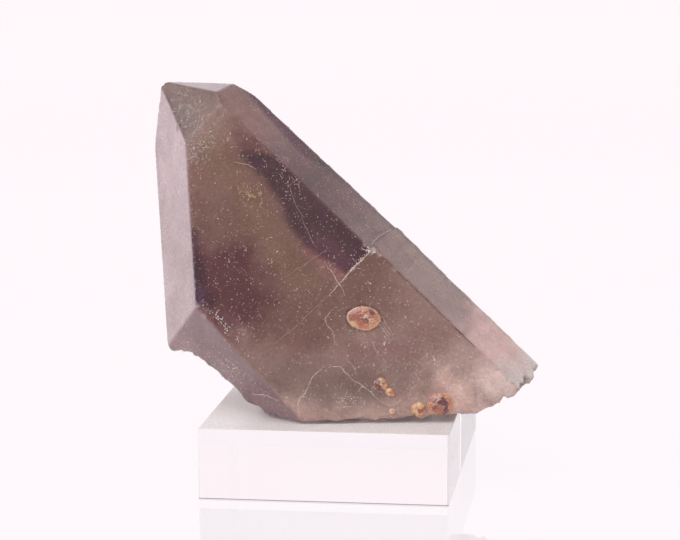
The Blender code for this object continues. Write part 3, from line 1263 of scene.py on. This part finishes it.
    def build(self) -> bpy.types.Object:
        """Makes the finished crystal.

        Returns:
            The new object.
        """
        mesh = self.rough_mesh()
        points = self.settle(mesh_points(mesh), 4)
        set_mesh_points(mesh, points)
        relax_mesh(mesh, 3, np.ones(len(points), bool))
        points = self.settle(mesh_points(mesh), 3)
        set_mesh_points(mesh, points)
        for rounds, width, least in self.break_relaxing:
            relax_mesh(mesh, rounds, self.weights(self.terms(points), width)[:, -1] > least)
        points = mesh_points(mesh)
        low, high = (np.array(corner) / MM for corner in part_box("smoky_quartz"))
        points = np.clip(points, low + self.box_margin, high - self.box_margin)
        set_mesh_points(mesh, points)
        mesh.name = "quartz_body"
        mesh.materials.clear()
        mesh.shade_smooth()
        own = self.pose.to_crystal(points)
        shares = self.weights(self.terms(points), self.fine_blend)
        hazes = np.array([name.value.haze for name in FaceName])
        count = len(FaceName)
        haze = shares[:, :count] @ hazes + shares[:, count:].sum(axis=-1) * self.break_haze
        for zone in self.zones:
            if zone.haze:
                haze += self.zone_share(zone, own, shares) * zone.haze
        store_value(mesh, "haze", haze)
        store_value(mesh, "broken", shares[:, count:].sum(axis=-1))
        store_vector(mesh, "grown", own)
        store_colour(mesh, "smoke_and_shade", self.smoke_and_shade_colours(own, shares))
        mesh.materials.append(SmokyQuartzFinish().material())
        item = add_object("quartz_body", mesh)
        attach(item, "root")
        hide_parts("smoky_quartz")
        report_piece(item)
        return item


# Garnets


class GarnetTone(Enum):
    """Colours within one garnet."""

    BROWN = (0.37, 0.11, 0.07)
    RUST = (0.48, 0.165, 0.10)
    ORANGE = (0.60, 0.24, 0.12)
    AMBER = (0.68, 0.34, 0.18)
    YELLOW = (0.78, 0.48, 0.24)
    DARK = (0.17, 0.045, 0.055)
    PALE = (0.84, 0.60, 0.46)


@dataclass(frozen=True)
class Lobe:
    """One lobe of a garnet, placed by shares of its half width and half height."""

    right: float
    up: float
    tone: GarnetTone


@dataclass(frozen=True)
class GarnetRelief:
    """How a garnet swells, splits into lobes and pales at its seams, rim and root."""

    warp: float = 0.12
    warp_size: float = 0.5
    swell: float = 0.05
    swell_size: float = 0.6
    seam_pinch: float = 0.04
    seam_depth: float = 0.05
    seam_reach: Pair = (0.015, 0.085)
    seam_size: float = 0.35
    seam_breaks: Pair = (-0.5, 0.3)
    seam_pale: float = 0.62
    lobe_blend: float = 0.045
    root_reach: Pair = (-0.12, 0.02)
    root_pale: float = 0.8
    rim_reach: Pair = (0.86, 0.94)
    rim_size: float = 0.5
    rim_breaks: Pair = (-1.5, -0.1)
    rim_pale: float = 0.8


@dataclass(frozen=True)
class GarnetGrain:
    """One garnet grain: a lobed ball sunk in the front face, level with the ground.

    Across and along give its middle on the front face. The half sizes run to the right,
    upward and outward, and tilt turns it anticlockwise as seen from the front.
    """

    across: float
    along: float
    half_sizes: Triple
    sunk: float
    tilt: float
    stands_out: float
    lobes: tuple[Lobe, ...]
    foot_cut: float = 0.02
    relief: GarnetRelief = GarnetRelief()

    def axes(self, pose: CrystalPose) -> np.ndarray:
        """The grain's right, upward and outward directions in the crystal's frame."""
        turn = math.radians(pose.slant - self.tilt)
        right = np.array([math.cos(turn), 0.0, -math.sin(turn)])
        upward = np.array([math.sin(turn), 0.0, math.cos(turn)])
        return np.stack([right, upward, np.array([0.0, -1.0, 0.0])])

    def shape(self, pose: CrystalPose, cuts: int, seed: int) -> tuple[Shape, np.ndarray]:
        """Builds the grain's surface.

        Args:
            pose: how the crystal stands.
            cuts: how finely the ball is divided.
            seed: number that tells one grain's relief from another's.

        Returns:
            Its points in the world with its faces, and the tint of each point.
        """
        relief = self.relief
        ball = bmesh.new()
        bmesh.ops.create_icosphere(ball, subdivisions=cuts, radius=1.0)
        unit = np.array([vert.co[:] for vert in ball.verts])
        faces = [tuple(vert.index for vert in face.verts) for face in ball.faces]
        ball.free()
        warp = [layered_noise(unit, relief.warp_size, seed + step, 3) for step in (3, 5)]
        warp = np.stack(warp, axis=-1)
        across, upward = (unit[:, :2] + warp * relief.warp).T
        gaps = [np.hypot(across - lobe.right, upward - lobe.up) for lobe in self.lobes]
        gaps = np.stack(gaps, -1)
        nearest, second = np.sort(gaps, axis=-1)[:, :2].T
        seam = 1.0 - smooth_share(*relief.seam_reach, second - nearest)
        gone = layered_noise(unit, relief.seam_size, seed + 11, 2)
        seam = seam * smooth_share(*relief.seam_breaks, gone)
        bumps = layered_noise(unit, relief.swell_size, seed, 3)
        swell = 1.0 + relief.swell * bumps - relief.seam_pinch * seam
        sizes = np.array(self.half_sizes)
        local = unit * sizes * swell[:, None]
        height = local[:, 2] - self.sunk
        raised = self.stands_out * np.tanh(np.maximum(height, 0.0) / self.stands_out)
        local[:, 2] = np.where(height > 0.0, raised - relief.seam_depth * seam, height)
        mixed = np.exp((nearest[:, None] - gaps) / relief.lobe_blend)
        tones = np.array([lobe.tone.value for lobe in self.lobes])
        tints = (mixed / mixed.sum(axis=-1, keepdims=True)) @ tones
        tints = blend_tints(tints, GarnetTone.PALE.value, seam * relief.seam_pale)
        buried = 1.0 - smooth_share(*relief.root_reach, height)
        tints = blend_tints(tints, GarnetTone.PALE.value, buried * relief.root_pale)
        footprint = math.sqrt(1.0 - (self.sunk / self.half_sizes[2]) ** 2)
        rim = smooth_share(*relief.rim_reach, np.hypot(unit[:, 0], unit[:, 1]) / footprint)
        gone = layered_noise(unit, relief.rim_size, seed + 17, 2)
        rim = rim * smooth_share(*relief.rim_breaks, gone)
        edge = (np.array(GarnetTone.AMBER.value) + np.array(GarnetTone.PALE.value)) / 2.0
        tints = blend_tints(tints, edge, rim * relief.rim_pale)
        own = np.array([self.across, 0.0, self.along]) + local @ self.axes(pose)
        return (pose.to_world(own), faces), tints


def garnet_groups() -> dict[str, tuple[GarnetGrain, ...]]:
    """The grains of each garnet node, with their lobes."""
    return {
        "spessartine_large": (
            GarnetGrain(
                16.0, 4.5, (2.72, 1.98, 1.2), 0.6, -8.0, 0.38,
                (
                    Lobe(-0.72, -0.05, GarnetTone.BROWN), Lobe(-0.42, 0.55, GarnetTone.RUST),
                    Lobe(-0.02, 0.72, GarnetTone.ORANGE), Lobe(-0.12, 0.12, GarnetTone.BROWN),
                    Lobe(0.24, 0.36, GarnetTone.DARK), Lobe(0.14, -0.1, GarnetTone.DARK),
                    Lobe(0.02, 0.34, GarnetTone.RUST), Lobe(-0.06, -0.2, GarnetTone.BROWN),
                    Lobe(0.34, 0.1, GarnetTone.RUST), Lobe(0.12, 0.14, GarnetTone.PALE),
                    Lobe(0.72, 0.1, GarnetTone.ORANGE), Lobe(0.5, 0.62, GarnetTone.AMBER),
                    Lobe(-0.2, -0.5, GarnetTone.RUST), Lobe(0.22, -0.72, GarnetTone.ORANGE),
                    Lobe(0.58, -0.52, GarnetTone.AMBER), Lobe(-0.62, -0.7, GarnetTone.YELLOW),
                    Lobe(0.42, -0.15, GarnetTone.AMBER),
                ),
            ),
        ),
        "spessartine_cluster": (
            GarnetGrain(
                10.8, -3.7, (1.0, 1.08, 0.9), 0.3, 20.0, 0.5,
                (
                    Lobe(-0.6, 0.25, GarnetTone.DARK), Lobe(-0.35, -0.3, GarnetTone.DARK),
                    Lobe(-0.05, -0.75, GarnetTone.DARK), Lobe(-0.75, 0.7, GarnetTone.BROWN),
                    Lobe(-0.15, 0.6, GarnetTone.DARK), Lobe(0.22, 0.72, GarnetTone.YELLOW),
                    Lobe(0.12, 0.2, GarnetTone.YELLOW), Lobe(0.45, 0.05, GarnetTone.BROWN),
                    Lobe(0.68, 0.4, GarnetTone.AMBER), Lobe(0.25, -0.25, GarnetTone.AMBER),
                    Lobe(0.7, -0.3, GarnetTone.YELLOW), Lobe(0.45, -0.75, GarnetTone.AMBER),
                ),
            ),
            GarnetGrain(
                11.0, -5.4, (0.82, 0.62, 0.8), 0.2, -30.0, 0.5,
                (
                    Lobe(0.0, 0.05, GarnetTone.ORANGE), Lobe(0.55, -0.45, GarnetTone.AMBER),
                    Lobe(-0.6, 0.4, GarnetTone.YELLOW), Lobe(-0.3, -0.7, GarnetTone.YELLOW),
                    Lobe(0.5, 0.6, GarnetTone.RUST),
                ),
            ),
        ),
        "spessartine_pair": (
            GarnetGrain(
                14.6, -11.65, (1.95, 1.75, 1.4), 0.35, 5.0, 0.85,
                (
                    Lobe(-0.15, 0.2, GarnetTone.DARK), Lobe(0.12, 0.38, GarnetTone.DARK),
                    Lobe(-0.42, 0.36, GarnetTone.BROWN), Lobe(0.22, 0.05, GarnetTone.DARK),
                    Lobe(0.36, -0.45, GarnetTone.DARK), Lobe(-0.05, -0.35, GarnetTone.RUST),
                    Lobe(-0.45, -0.2, GarnetTone.BROWN), Lobe(-0.7, -0.5, GarnetTone.AMBER),
                    Lobe(-0.85, 0.1, GarnetTone.ORANGE), Lobe(0.78, 0.25, GarnetTone.ORANGE),
                    Lobe(0.62, 0.55, GarnetTone.AMBER), Lobe(0.2, 0.88, GarnetTone.ORANGE),
                    Lobe(-0.45, 0.8, GarnetTone.RUST), Lobe(0.85, -0.35, GarnetTone.ORANGE),
                ),
                foot_cut=0.45,
            ),
            GarnetGrain(
                12.0, -9.9, (1.1, 1.05, 1.0), 0.25, -20.0, 0.55,
                (
                    Lobe(-0.55, 0.2, GarnetTone.AMBER), Lobe(0.1, 0.6, GarnetTone.YELLOW),
                    Lobe(0.25, -0.15, GarnetTone.BROWN), Lobe(-0.25, -0.55, GarnetTone.YELLOW),
                    Lobe(0.75, -0.45, GarnetTone.AMBER), Lobe(0.6, 0.4, GarnetTone.RUST),
                ),
                foot_cut=0.2,
            ),
        ),
        "spessartine_speck": (
            GarnetGrain(
                9.25, -7.4, (0.46, 0.44, 0.4), 0.08, 0.0, 0.3,
                (
                    Lobe(0.0, 0.1, GarnetTone.AMBER), Lobe(0.5, 0.5, GarnetTone.PALE),
                    Lobe(-0.5, -0.3, GarnetTone.PALE), Lobe(0.4, -0.6, GarnetTone.YELLOW),
                ),
            ),
        ),
    }


@dataclass
class Garnets:
    """The garnets set in the crystal's front face."""

    crystal: QuartzCrystal
    fine_cuts: int = 6
    plain_cuts: int = 5
    groups: dict[str, tuple[GarnetGrain, ...]] = field(default_factory=garnet_groups)

    def build_group(
        self, node: str, grains: Sequence[GarnetGrain], finish: bpy.types.Material
    ) -> None:
        """Makes the garnets that stand for one node.

        Args:
            node: the node's name.
            grains: its grains.
            finish: their material.
        """
        cuts = self.fine_cuts if node == "spessartine_large" else self.plain_cuts
        shapes, colours = [], []
        for number, grain in enumerate(grains):
            seed = 40 + 20 * number + len(node)
            (points, faces), tints = grain.shape(self.crystal.pose, cuts, seed)
            floor = self.crystal.break_height(points) + grain.foot_cut
            points[:, 2] = np.maximum(points[:, 2], floor)
            shapes.append((points, faces))
            colours.append(tints)
        item = join_shapes(node.replace("spessartine", "garnet"), shapes, colours)
        item.data.materials.append(finish)
        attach(item, "root")
        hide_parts(node)
        report_piece(item)

    def build(self) -> None:
        """Makes every garnet."""
        finish = SpessartineFinish().material()
        for node, grains in self.groups.items():
            self.build_group(node, grains, finish)


# Cracks, fibres and flecks


class FleckTint(Enum):
    """Tints of the fine marks."""

    PALE = (0.86, 0.71, 0.62)
    BRIGHT = (0.95, 0.88, 0.85)
    GOLD = (0.86, 0.62, 0.32)
    FAINT = (0.46, 0.33, 0.29)
    SHADOW = (0.05, 0.035, 0.05)


@dataclass(frozen=True)
class Crack:
    """A hairline crack drawn across and along one face; in the shadow tint it is a painted shadow
    line instead.
    """

    line: tuple[Pair, ...]
    half_width: float = 0.04
    tint: FleckTint = FleckTint.PALE
    face: FaceName = FaceName.FRONT
    wander: float = 0.12
    rise: float = 0.0


@dataclass(frozen=True)
class FleckCluster:
    """A cloud of flecks and short fibres round one place of a face."""

    across: float
    along: float
    reach: Pair
    flecks: int
    fibres: int
    size: float = 0.1
    tint: FleckTint = FleckTint.PALE
    face: FaceName = FaceName.FRONT


@dataclass
class FineMarks:
    """Hairline cracks, fibres and flecks in the crystal's skin, with two painted shadow lines along
    the front face's right edge.
    """

    crystal: QuartzCrystal
    cracks: tuple[Crack, ...] = (
        Crack(((24.1, 10.3), (20.0, 10.5), (14.9, 10.25)), 0.055),
        Crack(((15.1, 10.3), (9.4, 10.5), (4.1, 11.2)), 0.035, FleckTint.FAINT),
        Crack(((7.4, 3.9), (4.9, 3.9), (2.9, 3.2), (1.8, 3.3), (0.2, 2.3), (-0.3, 1.3)), 0.045),
        Crack(
            (
                (7.8, 3.3), (8.7, 2.2), (8.8, 0.9), (8.6, -0.6), (8.9, -1.9), (9.1, -3.7),
                (9.0, -5.3),
            ),
            0.045,
        ),
        Crack(
            ((9.0, -5.3), (9.4, -6.5), (9.85, -7.3), (9.75, -7.9), (9.75, -8.7)),
            0.045,
            rise=0.08,
        ),
        Crack(((13.5, 8.7), (12.2, 8.4), (11.7, 7.6), (11.6, 6.3), (10.5, 4.8)), 0.035),
        Crack(((10.2, 2.4), (10.0, 1.0), (9.4, -0.4)), 0.035),
        Crack(((8.9, -1.9), (8.0, -2.0)), 0.035),
        Crack(((9.8, -7.1), (10.7, -7.2), (11.7, -7.3)), 0.04, rise=0.08),
        Crack(((17.9, 13.6), (17.2, 11.0), (16.6, 8.6)), 0.035),
        Crack(((12.3, 16.5), (17.4, 15.5), (20.0, 14.9)), 0.03, FleckTint.FAINT),
        Crack(((-2.5, 8.5), (-1.4, 7.0), (-0.6, 4.9)), 0.035),
        Crack(((18.0, 2.9), (17.1, 0.2)), 0.03),
        Crack(((17.5, 2.9), (16.7, 0.1)), 0.03),
        Crack(((17.0, 2.7), (16.4, 0.0)), 0.03),
        Crack(((14.6, 1.8), (13.6, -0.6)), 0.03),
        Crack(((22.6, 25.5), (21.0, 22.5), (20.6, 20.5)), 0.04, FleckTint.FAINT),
        Crack(((20.4, 20.8), (19.2, 18.0), (18.6, 16.2)), 0.035, FleckTint.FAINT),
        Crack(((23.8, 24.6), (22.9, 23.6)), 0.035),
        Crack(((19.4, 33.0), (20.6, 31.2), (20.9, 30.0)), 0.03),
        Crack(
            ((24.2, 10.9), (26.2, 11.4), (28.6, 10.9), (30.1, 10.8)),
            0.05,
            face=FaceName.RIGHT_BEVEL,
        ),
        # painted shadow: two near-black lines along the edge between the front and the right bevel
        Crack(((23.95, -5.0), (23.87, -9.8)), 0.05, FleckTint.SHADOW, wander=0.02),
        Crack(((24.12, 8.4), (23.98, -4.6)), 0.03, FleckTint.SHADOW, wander=0.02),
    )
    clusters: tuple[FleckCluster, ...] = (
        FleckCluster(11.0, 20.0, (9.0, 18.0), 130, 24, 0.08),
        FleckCluster(15.0, -1.0, (8.0, 9.0), 260, 34, 0.075),
        FleckCluster(18.0, 38.0, (5.0, 3.5), 120, 70, 0.08),
        FleckCluster(23.4, 26.5, (1.2, 5.0), 26, 16, 0.09),
        FleckCluster(17.9, 28.0, (1.6, 2.0), 24, 12, 0.12, FleckTint.GOLD),
        FleckCluster(23.8, 10.4, (0.8, 0.8), 60, 4, 0.12, FleckTint.BRIGHT),
        FleckCluster(21.0, 10.5, (3.2, 0.25), 60, 4, 0.1),
        FleckCluster(1.7, 18.6, (0.5, 1.6), 26, 4, 0.12, FleckTint.BRIGHT),
        FleckCluster(1.8, 21.4, (0.5, 1.6), 16, 4, 0.08),
        FleckCluster(4.2, 15.4, (2.2, 1.6), 26, 6, 0.09),
        FleckCluster(5.9, -1.5, (1.8, 2.6), 70, 14, 0.09),
        FleckCluster(1.0, 3.6, (1.6, 2.6), 50, 6, 0.08),
        FleckCluster(18.6, -7.0, (1.6, 2.6), 44, 8, 0.1),
        FleckCluster(15.3, -0.1, (0.35, 0.5), 5, 0, 0.22, FleckTint.BRIGHT),
        FleckCluster(20.5, -14.0, (3.0, 2.5), 60, 8, 0.1),
        FleckCluster(7.0, -5.6, (2.5, 2.5), 50, 6, 0.08),
        FleckCluster(27.2, 6.0, (2.6, 24.0), 420, 60, 0.085, FleckTint.PALE, FaceName.RIGHT_BEVEL),
        FleckCluster(27.0, -14.0, (1.6, 4.0), 60, 6, 0.12, FleckTint.BRIGHT, FaceName.RIGHT_BEVEL),
        FleckCluster(-2.0, 13.0, (1.4, 3.6), 110, 4, 0.13, FleckTint.PALE, FaceName.LEFT_BEVEL),
        FleckCluster(-4.0, 20.6, (1.2, 1.4), 40, 4, 0.12, FleckTint.PALE, FaceName.LEFT_BEVEL),
        FleckCluster(20.5, 43.5, (3.2, 3.2), 150, 64, 0.09, FleckTint.PALE, FaceName.TIP_FACET),
        FleckCluster(19.2, 42.6, (1.7, 2.2), 14, 8, 0.11, FleckTint.BRIGHT, FaceName.TIP_FACET),
        FleckCluster(21.5, 44.5, (3.4, 3.4), 60, 30, 0.09, FleckTint.FAINT, FaceName.TIP_FACET),
        FleckCluster(17.6, 38.6, (2.0, 2.6), 22, 14, 0.1, FleckTint.PALE),
        FleckCluster(6.0, 30.0, (4.0, 6.0), 34, 5, 0.06, FleckTint.BRIGHT, FaceName.LEFT_SIDE),
    )
    strays: int = 820
    stray_sizes: Pair = (0.05, 0.11)
    face_margin: float = 0.06
    station_gap: float = 0.22
    wander_size: float = 1.1
    crack_taper: Pair = (0.06, 0.94)
    crack_widths: Pair = (0.55, 1.3)
    fleck_lengths: Pair = (0.5, 1.5)
    fleck_widths: Pair = (0.3, 0.9)
    fleck_height: float = 0.09
    flatness: float = 0.6
    fibre_lengths: Pair = (5.0, 13.0)
    fibre_curl: float = 0.35
    fibre_taper: Pair = (0.12, 0.88)
    fibre_width: float = 0.28
    fibre_steps: int = 7
    seed: int = 19

    def crack_shape(self, crack: Crack, dice: Dice) -> Shape:
        """Builds one crack as a thin raised seam that tapers at its ends.

        Args:
            crack: the crack.
            dice: source of repeatable random numbers.

        Returns:
            Its points and faces in the world.
        """
        corners = np.array(crack.line)
        reach = np.concatenate([[0.0], np.cumsum(np.linalg.norm(np.diff(corners, axis=0), axis=1))])
        stations = np.linspace(0.0, reach[-1], max(6, int(reach[-1] / self.station_gap)))
        flat = np.stack([np.interp(stations, reach, corners[:, axis]) for axis in (0, 1)], -1)
        level = level_places(flat)
        shifts = [layered_noise(level, self.wander_size, seed, 3) for seed in (201, 303)]
        flat += np.stack(shifts, -1) * crack.wander
        own = np.stack([crack.face.value.place(*place) for place in flat])
        rise = self.crystal.face_relief(crack.face, own) + crack.rise
        own += crack.face.value.normal() * rise[:, None]
        taper = np.sin(np.linspace(*self.crack_taper, len(own)) * math.pi) ** 0.4
        radii = crack.half_width * taper * dice.uniform(*self.crack_widths, len(own))
        world = self.crystal.pose.to_world(own)
        outward = np.array(self.crystal.pose.rotation()) @ crack.face.value.normal()
        return tube_shape(world, radii, outward, self.flatness, 5)

    def surface_axes(self, outward: np.ndarray, dice: Dice) -> tuple[np.ndarray, np.ndarray]:
        """Picks two directions in a surface, square to each other.

        Args:
            outward: the surface's direction.
            dice: source of repeatable random numbers.

        Returns:
            The two directions, turned by chance.
        """
        ahead = dice.normal(size=3)
        ahead -= outward * (ahead @ outward)
        ahead /= np.linalg.norm(ahead)
        return ahead, np.cross(outward, ahead)

    def fleck_shape(self, place: np.ndarray, outward: np.ndarray, size: float, dice: Dice) -> Shape:
        """Builds one small angular fleck lying in the surface.

        Args:
            place: its middle.
            outward: the surface's direction.
            size: its half length.
            dice: source of repeatable random numbers.

        Returns:
            Its points and faces.
        """
        ahead, aside = self.surface_axes(outward, dice)
        long = size * dice.uniform(*self.fleck_lengths)
        across = aside * long * dice.uniform(*self.fleck_widths)
        upright = outward * min(long, self.fleck_height) * self.flatness
        return flake_shape(place, np.stack([ahead * long, across, upright]))

    def fibre_shape(self, place: np.ndarray, outward: np.ndarray, size: float, dice: Dice) -> Shape:
        """Builds one short curled fibre lying in the surface.

        Args:
            place: where it starts.
            outward: the surface's direction.
            size: half width of the flecks beside it, which sets its scale.
            dice: source of repeatable random numbers.

        Returns:
            Its points and faces.
        """
        first, second = self.surface_axes(outward, dice)
        count = self.fibre_steps
        length = size * dice.uniform(*self.fibre_lengths)
        curl = np.cumsum(np.full(count, dice.uniform(-self.fibre_curl, self.fibre_curl)))
        angles = curl + dice.normal(size=count) * 0.12
        steps = first * np.cos(angles)[:, None] + second * np.sin(angles)[:, None]
        route = place + np.cumsum(steps, axis=0) * length / count
        taper = np.sin(np.linspace(*self.fibre_taper, count) * math.pi)
        radii = taper * size * self.fibre_width
        return tube_shape(route, radii, outward, 0.7, 4)

    def cluster_shapes(self, cluster: FleckCluster, dice: Dice) -> TintedShapes:
        """Builds the flecks and fibres of one cluster.

        Args:
            cluster: the cluster.
            dice: source of repeatable random numbers.

        Returns:
            The shapes and the tint of each.
        """
        shapes: list[Shape] = []
        outward = np.array(self.crystal.pose.rotation()) @ cluster.face.value.normal()
        count = cluster.flecks + cluster.fibres
        scatter = dice.normal(size=(count, 2)) * np.array(cluster.reach) * 0.5
        flat = np.array([cluster.across, cluster.along]) + scatter
        own = np.stack([cluster.face.value.place(across, along) for across, along in flat])
        places = self.crystal.pose.to_world(own)
        on_face = self.crystal.terms(places).max(axis=-1) < self.face_margin
        for number in np.flatnonzero(on_face):
            build = self.fleck_shape if number < cluster.flecks else self.fibre_shape
            shapes.append(build(places[number], outward, cluster.size, dice))
        return shapes, [cluster.tint.value] * len(shapes)

    def stray_shapes(self, body: bpy.types.Object, dice: Dice) -> TintedShapes:
        """Builds flecks scattered over the whole crystal.

        Args:
            body: the finished crystal.
            dice: source of repeatable random numbers.

        Returns:
            The shapes and the tint of each.
        """
        points, normals = mesh_points(body.data), mesh_normals(body.data)
        shapes, tints = [], []
        for index in dice.integers(0, len(points), self.strays):
            size = dice.uniform(*self.stray_sizes)
            shapes.append(self.fleck_shape(points[index], normals[index], size, dice))
            tints.append(FleckTint.PALE.value)
        return shapes, tints

    def build(self, body: bpy.types.Object) -> None:
        """Makes the cracks, the painted shadow lines and the flecks.

        Args:
            body: the finished crystal.
        """
        dice = np.random.default_rng(self.seed)
        finish = PaleFleckFinish().material()
        cracks = [self.crack_shape(crack, dice) for crack in self.cracks]
        pieces = {"hairline_cracks_and_shadow_lines": (cracks, [crack.tint.value for crack in self.cracks])}
        shapes, tints = self.stray_shapes(body, dice)
        for cluster in self.clusters:
            more, colours = self.cluster_shapes(cluster, dice)
            shapes += more
            tints += colours
        pieces["pale_flecks"] = (shapes, tints)
        for name, (parts, colours) in pieces.items():
            item = join_shapes(name, parts, colours)
            item.data.materials.append(finish)
            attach(item, "root")
            report_piece(item)


# Display block


@dataclass
class DisplayBlock:
    """The clear block: back corners cut off and a fine edge round the top."""

    back_cut: float = 1.5
    back_share: float = 0.3
    front_cut: float = 0.22
    top_edge: float = 0.08
    foot_height: float = 0.14
    foot_depth: float = 0.08
    flat_from: float = 0.9999

    def outline(self, half_width: float, half_depth: float, inset: float) -> list[Pair]:
        """Outline of the block seen from above, with cut corners.

        Args:
            half_width: half of its width.
            half_depth: half of its depth.
            inset: how far the outline lies inside the block's own.

        Returns:
            The outline's corners, anticlockwise.
        """
        places = []
        for side, end in ((1, 1), (-1, 1), (-1, -1), (1, -1)):
            cut, share = (self.back_cut, self.back_share) if end > 0 else (self.front_cut, 1.0)
            cut = max(cut - inset * (2.0 - math.sqrt(2.0)), 0.01)
            pair = [
                (side * (half_width - inset), end * (half_depth - inset - cut * share)),
                (side * (half_width - inset - cut), end * (half_depth - inset)),
            ]
            places.extend(pair if side * end > 0 else reversed(pair))
        return places

    def mark_regions(self, mesh: bpy.types.Mesh) -> None:
        """Marks the dusty top, the frosted corners and top edge, and the painted contact shadow
        line at the foot.

        Args:
            mesh: the block's mesh, each face of which gets three marks of 0 or 1.
        """
        marks: dict[str, list[float]] = {"top_share": [], "frosted": [], "foot_shadow_line": []}
        for face in mesh.polygons:
            level = max(abs(value) for value in face.normal) > self.flat_from
            # the low front faces at the foot carry the painted contact shadow line
            foot = face.center.z < self.foot_height * MM and face.normal.y < -0.3
            frosted = not level and face.normal.y < 0.5
            top = face.normal.z > self.flat_from
            values = {"top_share": top, "frosted": frosted, "foot_shadow_line": foot}
            for name, value in values.items():
                marks[name].append(float(value))
        for name, shares in marks.items():
            mesh.attributes.new(name, "FLOAT", "FACE").data.foreach_set("value", shares)

    def build(self) -> None:
        """Makes the finished block in place of its solid."""
        low, high = (np.array(corner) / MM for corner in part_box("display_block"))
        middle = (low + high) / 2.0
        half = (high - low) / 2.0
        levels = (
            (low[2], 0.0),
            (low[2] + self.foot_height, 0.0),
            (high[2] - self.top_edge, 0.0),
            (high[2], self.top_edge),
        )
        points = []
        for height, inset in levels:
            foot = self.foot_depth if height == low[2] else 0.0
            for across, deep in self.outline(half[0], half[1], inset):
                points.append((middle[0] + across, middle[1] + max(deep, foot - half[1]), height))
        faces = [face[::-1] for face in ring_faces(len(levels), len(points) // len(levels))]
        item = piece_from_arrays("clear_block", np.array(points), faces)
        item.data.shade_flat()
        self.mark_regions(item.data)
        item.data.materials.append(ClearAcrylicFinish().material())
        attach(item, "root")
        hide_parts("display_block")
        report_piece(item)


# Studio


@dataclass
class Studio:
    """Floor, soft light and camera."""

    camera_place: Triple = (44.93, -345.07, 83.89)
    camera_turn: float = 7.55
    camera_pitch: float = 9.02
    camera_roll: float = -0.17
    focal_pixels: float = 2400.0
    frame_width: float = 680.0
    sensor: float = 36.0
    floor_radius: float = 6000.0
    floor_drop: float = 0.02
    back_glow: Triple = (1.02, 0.94, 0.968)
    front_glow: Triple = (0.44, 0.42, 0.43)
    top_glow: Triple = (0.34, 0.33, 0.34)
    lamp_angle: float = 70.0
    lamp_strength: float = 1.9
    lamp_tilt: Pair = (25.0, -18.0)
    front_blend: Pair = (-0.8, 0.1)
    top_blend: Pair = (0.45, 0.28)
    clip: Pair = (0.01, 100.0)

    def lay_floor(self) -> None:
        """Lays the pale floor under the block."""
        shape = bmesh.new()
        bmesh.ops.create_circle(shape, cap_ends=True, radius=self.floor_radius * MM, segments=96)
        mesh = bpy.data.meshes.new("studio_floor")
        shape.to_mesh(mesh)
        shape.free()
        floor = add_object("studio_floor", mesh)
        floor.location.z = -self.floor_drop * MM
        mesh.materials.append(StudioFloorFinish().material())
        floor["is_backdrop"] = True

    def light(self) -> None:
        """Sets the soft light: a pale surround, dimmer in front and above, and one wide lamp."""
        world = bpy.data.worlds.new("studio_light")
        world.use_nodes = True
        tree = world.node_tree
        coords = tree.nodes.new("ShaderNodeTexCoord")
        split = tree.nodes.new("ShaderNodeSeparateXYZ")
        tree.links.new(coords.outputs["Generated"], split.inputs[0])
        blends = []
        for axis, (low, high) in (("Y", self.front_blend), ("Z", self.top_blend)):
            share = tree.nodes.new("ShaderNodeMapRange")
            share.inputs["From Min"].default_value = low
            share.inputs["From Max"].default_value = high
            blend = tree.nodes.new("ShaderNodeMix")
            blend.data_type = "RGBA"
            tree.links.new(split.outputs[axis], share.inputs["Value"])
            tree.links.new(share.outputs["Result"], blend.inputs[0])
            blends.append(blend)
        level, upward = blends
        level.inputs[6].default_value = (*self.front_glow, 1.0)
        level.inputs[7].default_value = (*self.back_glow, 1.0)
        upward.inputs[6].default_value = (*self.top_glow, 1.0)
        tree.links.new(level.outputs[2], upward.inputs[7])
        tree.links.new(upward.outputs[2], tree.nodes["Background"].inputs["Color"])
        bpy.context.scene.world = world
        lamp = bpy.data.lights.new("soft_top_light", "SUN")
        lamp.angle = math.radians(self.lamp_angle)
        lamp.energy = self.lamp_strength
        item = add_object("soft_top_light", lamp)
        item.rotation_euler = (*map(math.radians, self.lamp_tilt), 0.0)

    def place_camera(self) -> None:
        """Places the camera where the photograph was taken from."""
        turn, pitch = math.radians(self.camera_turn), math.radians(self.camera_pitch)
        ahead = Vector(
            (-math.sin(turn) * math.cos(pitch), math.cos(turn) * math.cos(pitch), -math.sin(pitch))
        )
        data = bpy.data.cameras.new("camera")
        data.sensor_width = self.sensor
        data.lens = self.focal_pixels * self.sensor / self.frame_width
        data.clip_start, data.clip_end = self.clip
        camera = add_object("camera", data)
        roll = Matrix.Rotation(math.radians(self.camera_roll), 4, "Z")
        aim = ahead.to_track_quat("-Z", "Y").to_matrix().to_4x4()
        camera.matrix_world = Matrix.Translation(Vector(self.camera_place) * MM) @ aim @ roll
        bpy.context.scene.camera = camera

    def build(self) -> None:
        """Sets up the whole studio."""
        self.lay_floor()
        self.light()
        self.place_camera()
        bpy.context.scene.view_settings.view_transform = "Standard"


def write_sizes() -> None:
    """Puts the box of the solids and the box of the visible model side by side in a plain table,
    which is not kept.
    """
    boxes = {"cad": CAD_BOX, "visual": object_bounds()}
    plain = {name: [list(corner) for corner in box] for name, box in boxes.items()}


def main() -> None:
    """Builds the pieces in order."""
    logging.basicConfig(level=logging.INFO, format="%(name)s: %(message)s")
    Studio().build()
    DisplayBlock().build()
    crystal = QuartzCrystal()
    body = crystal.build()
    Garnets(crystal).build()
    FineMarks(crystal).build(body)
    write_sizes()


if __name__ == "__main__":
    main()
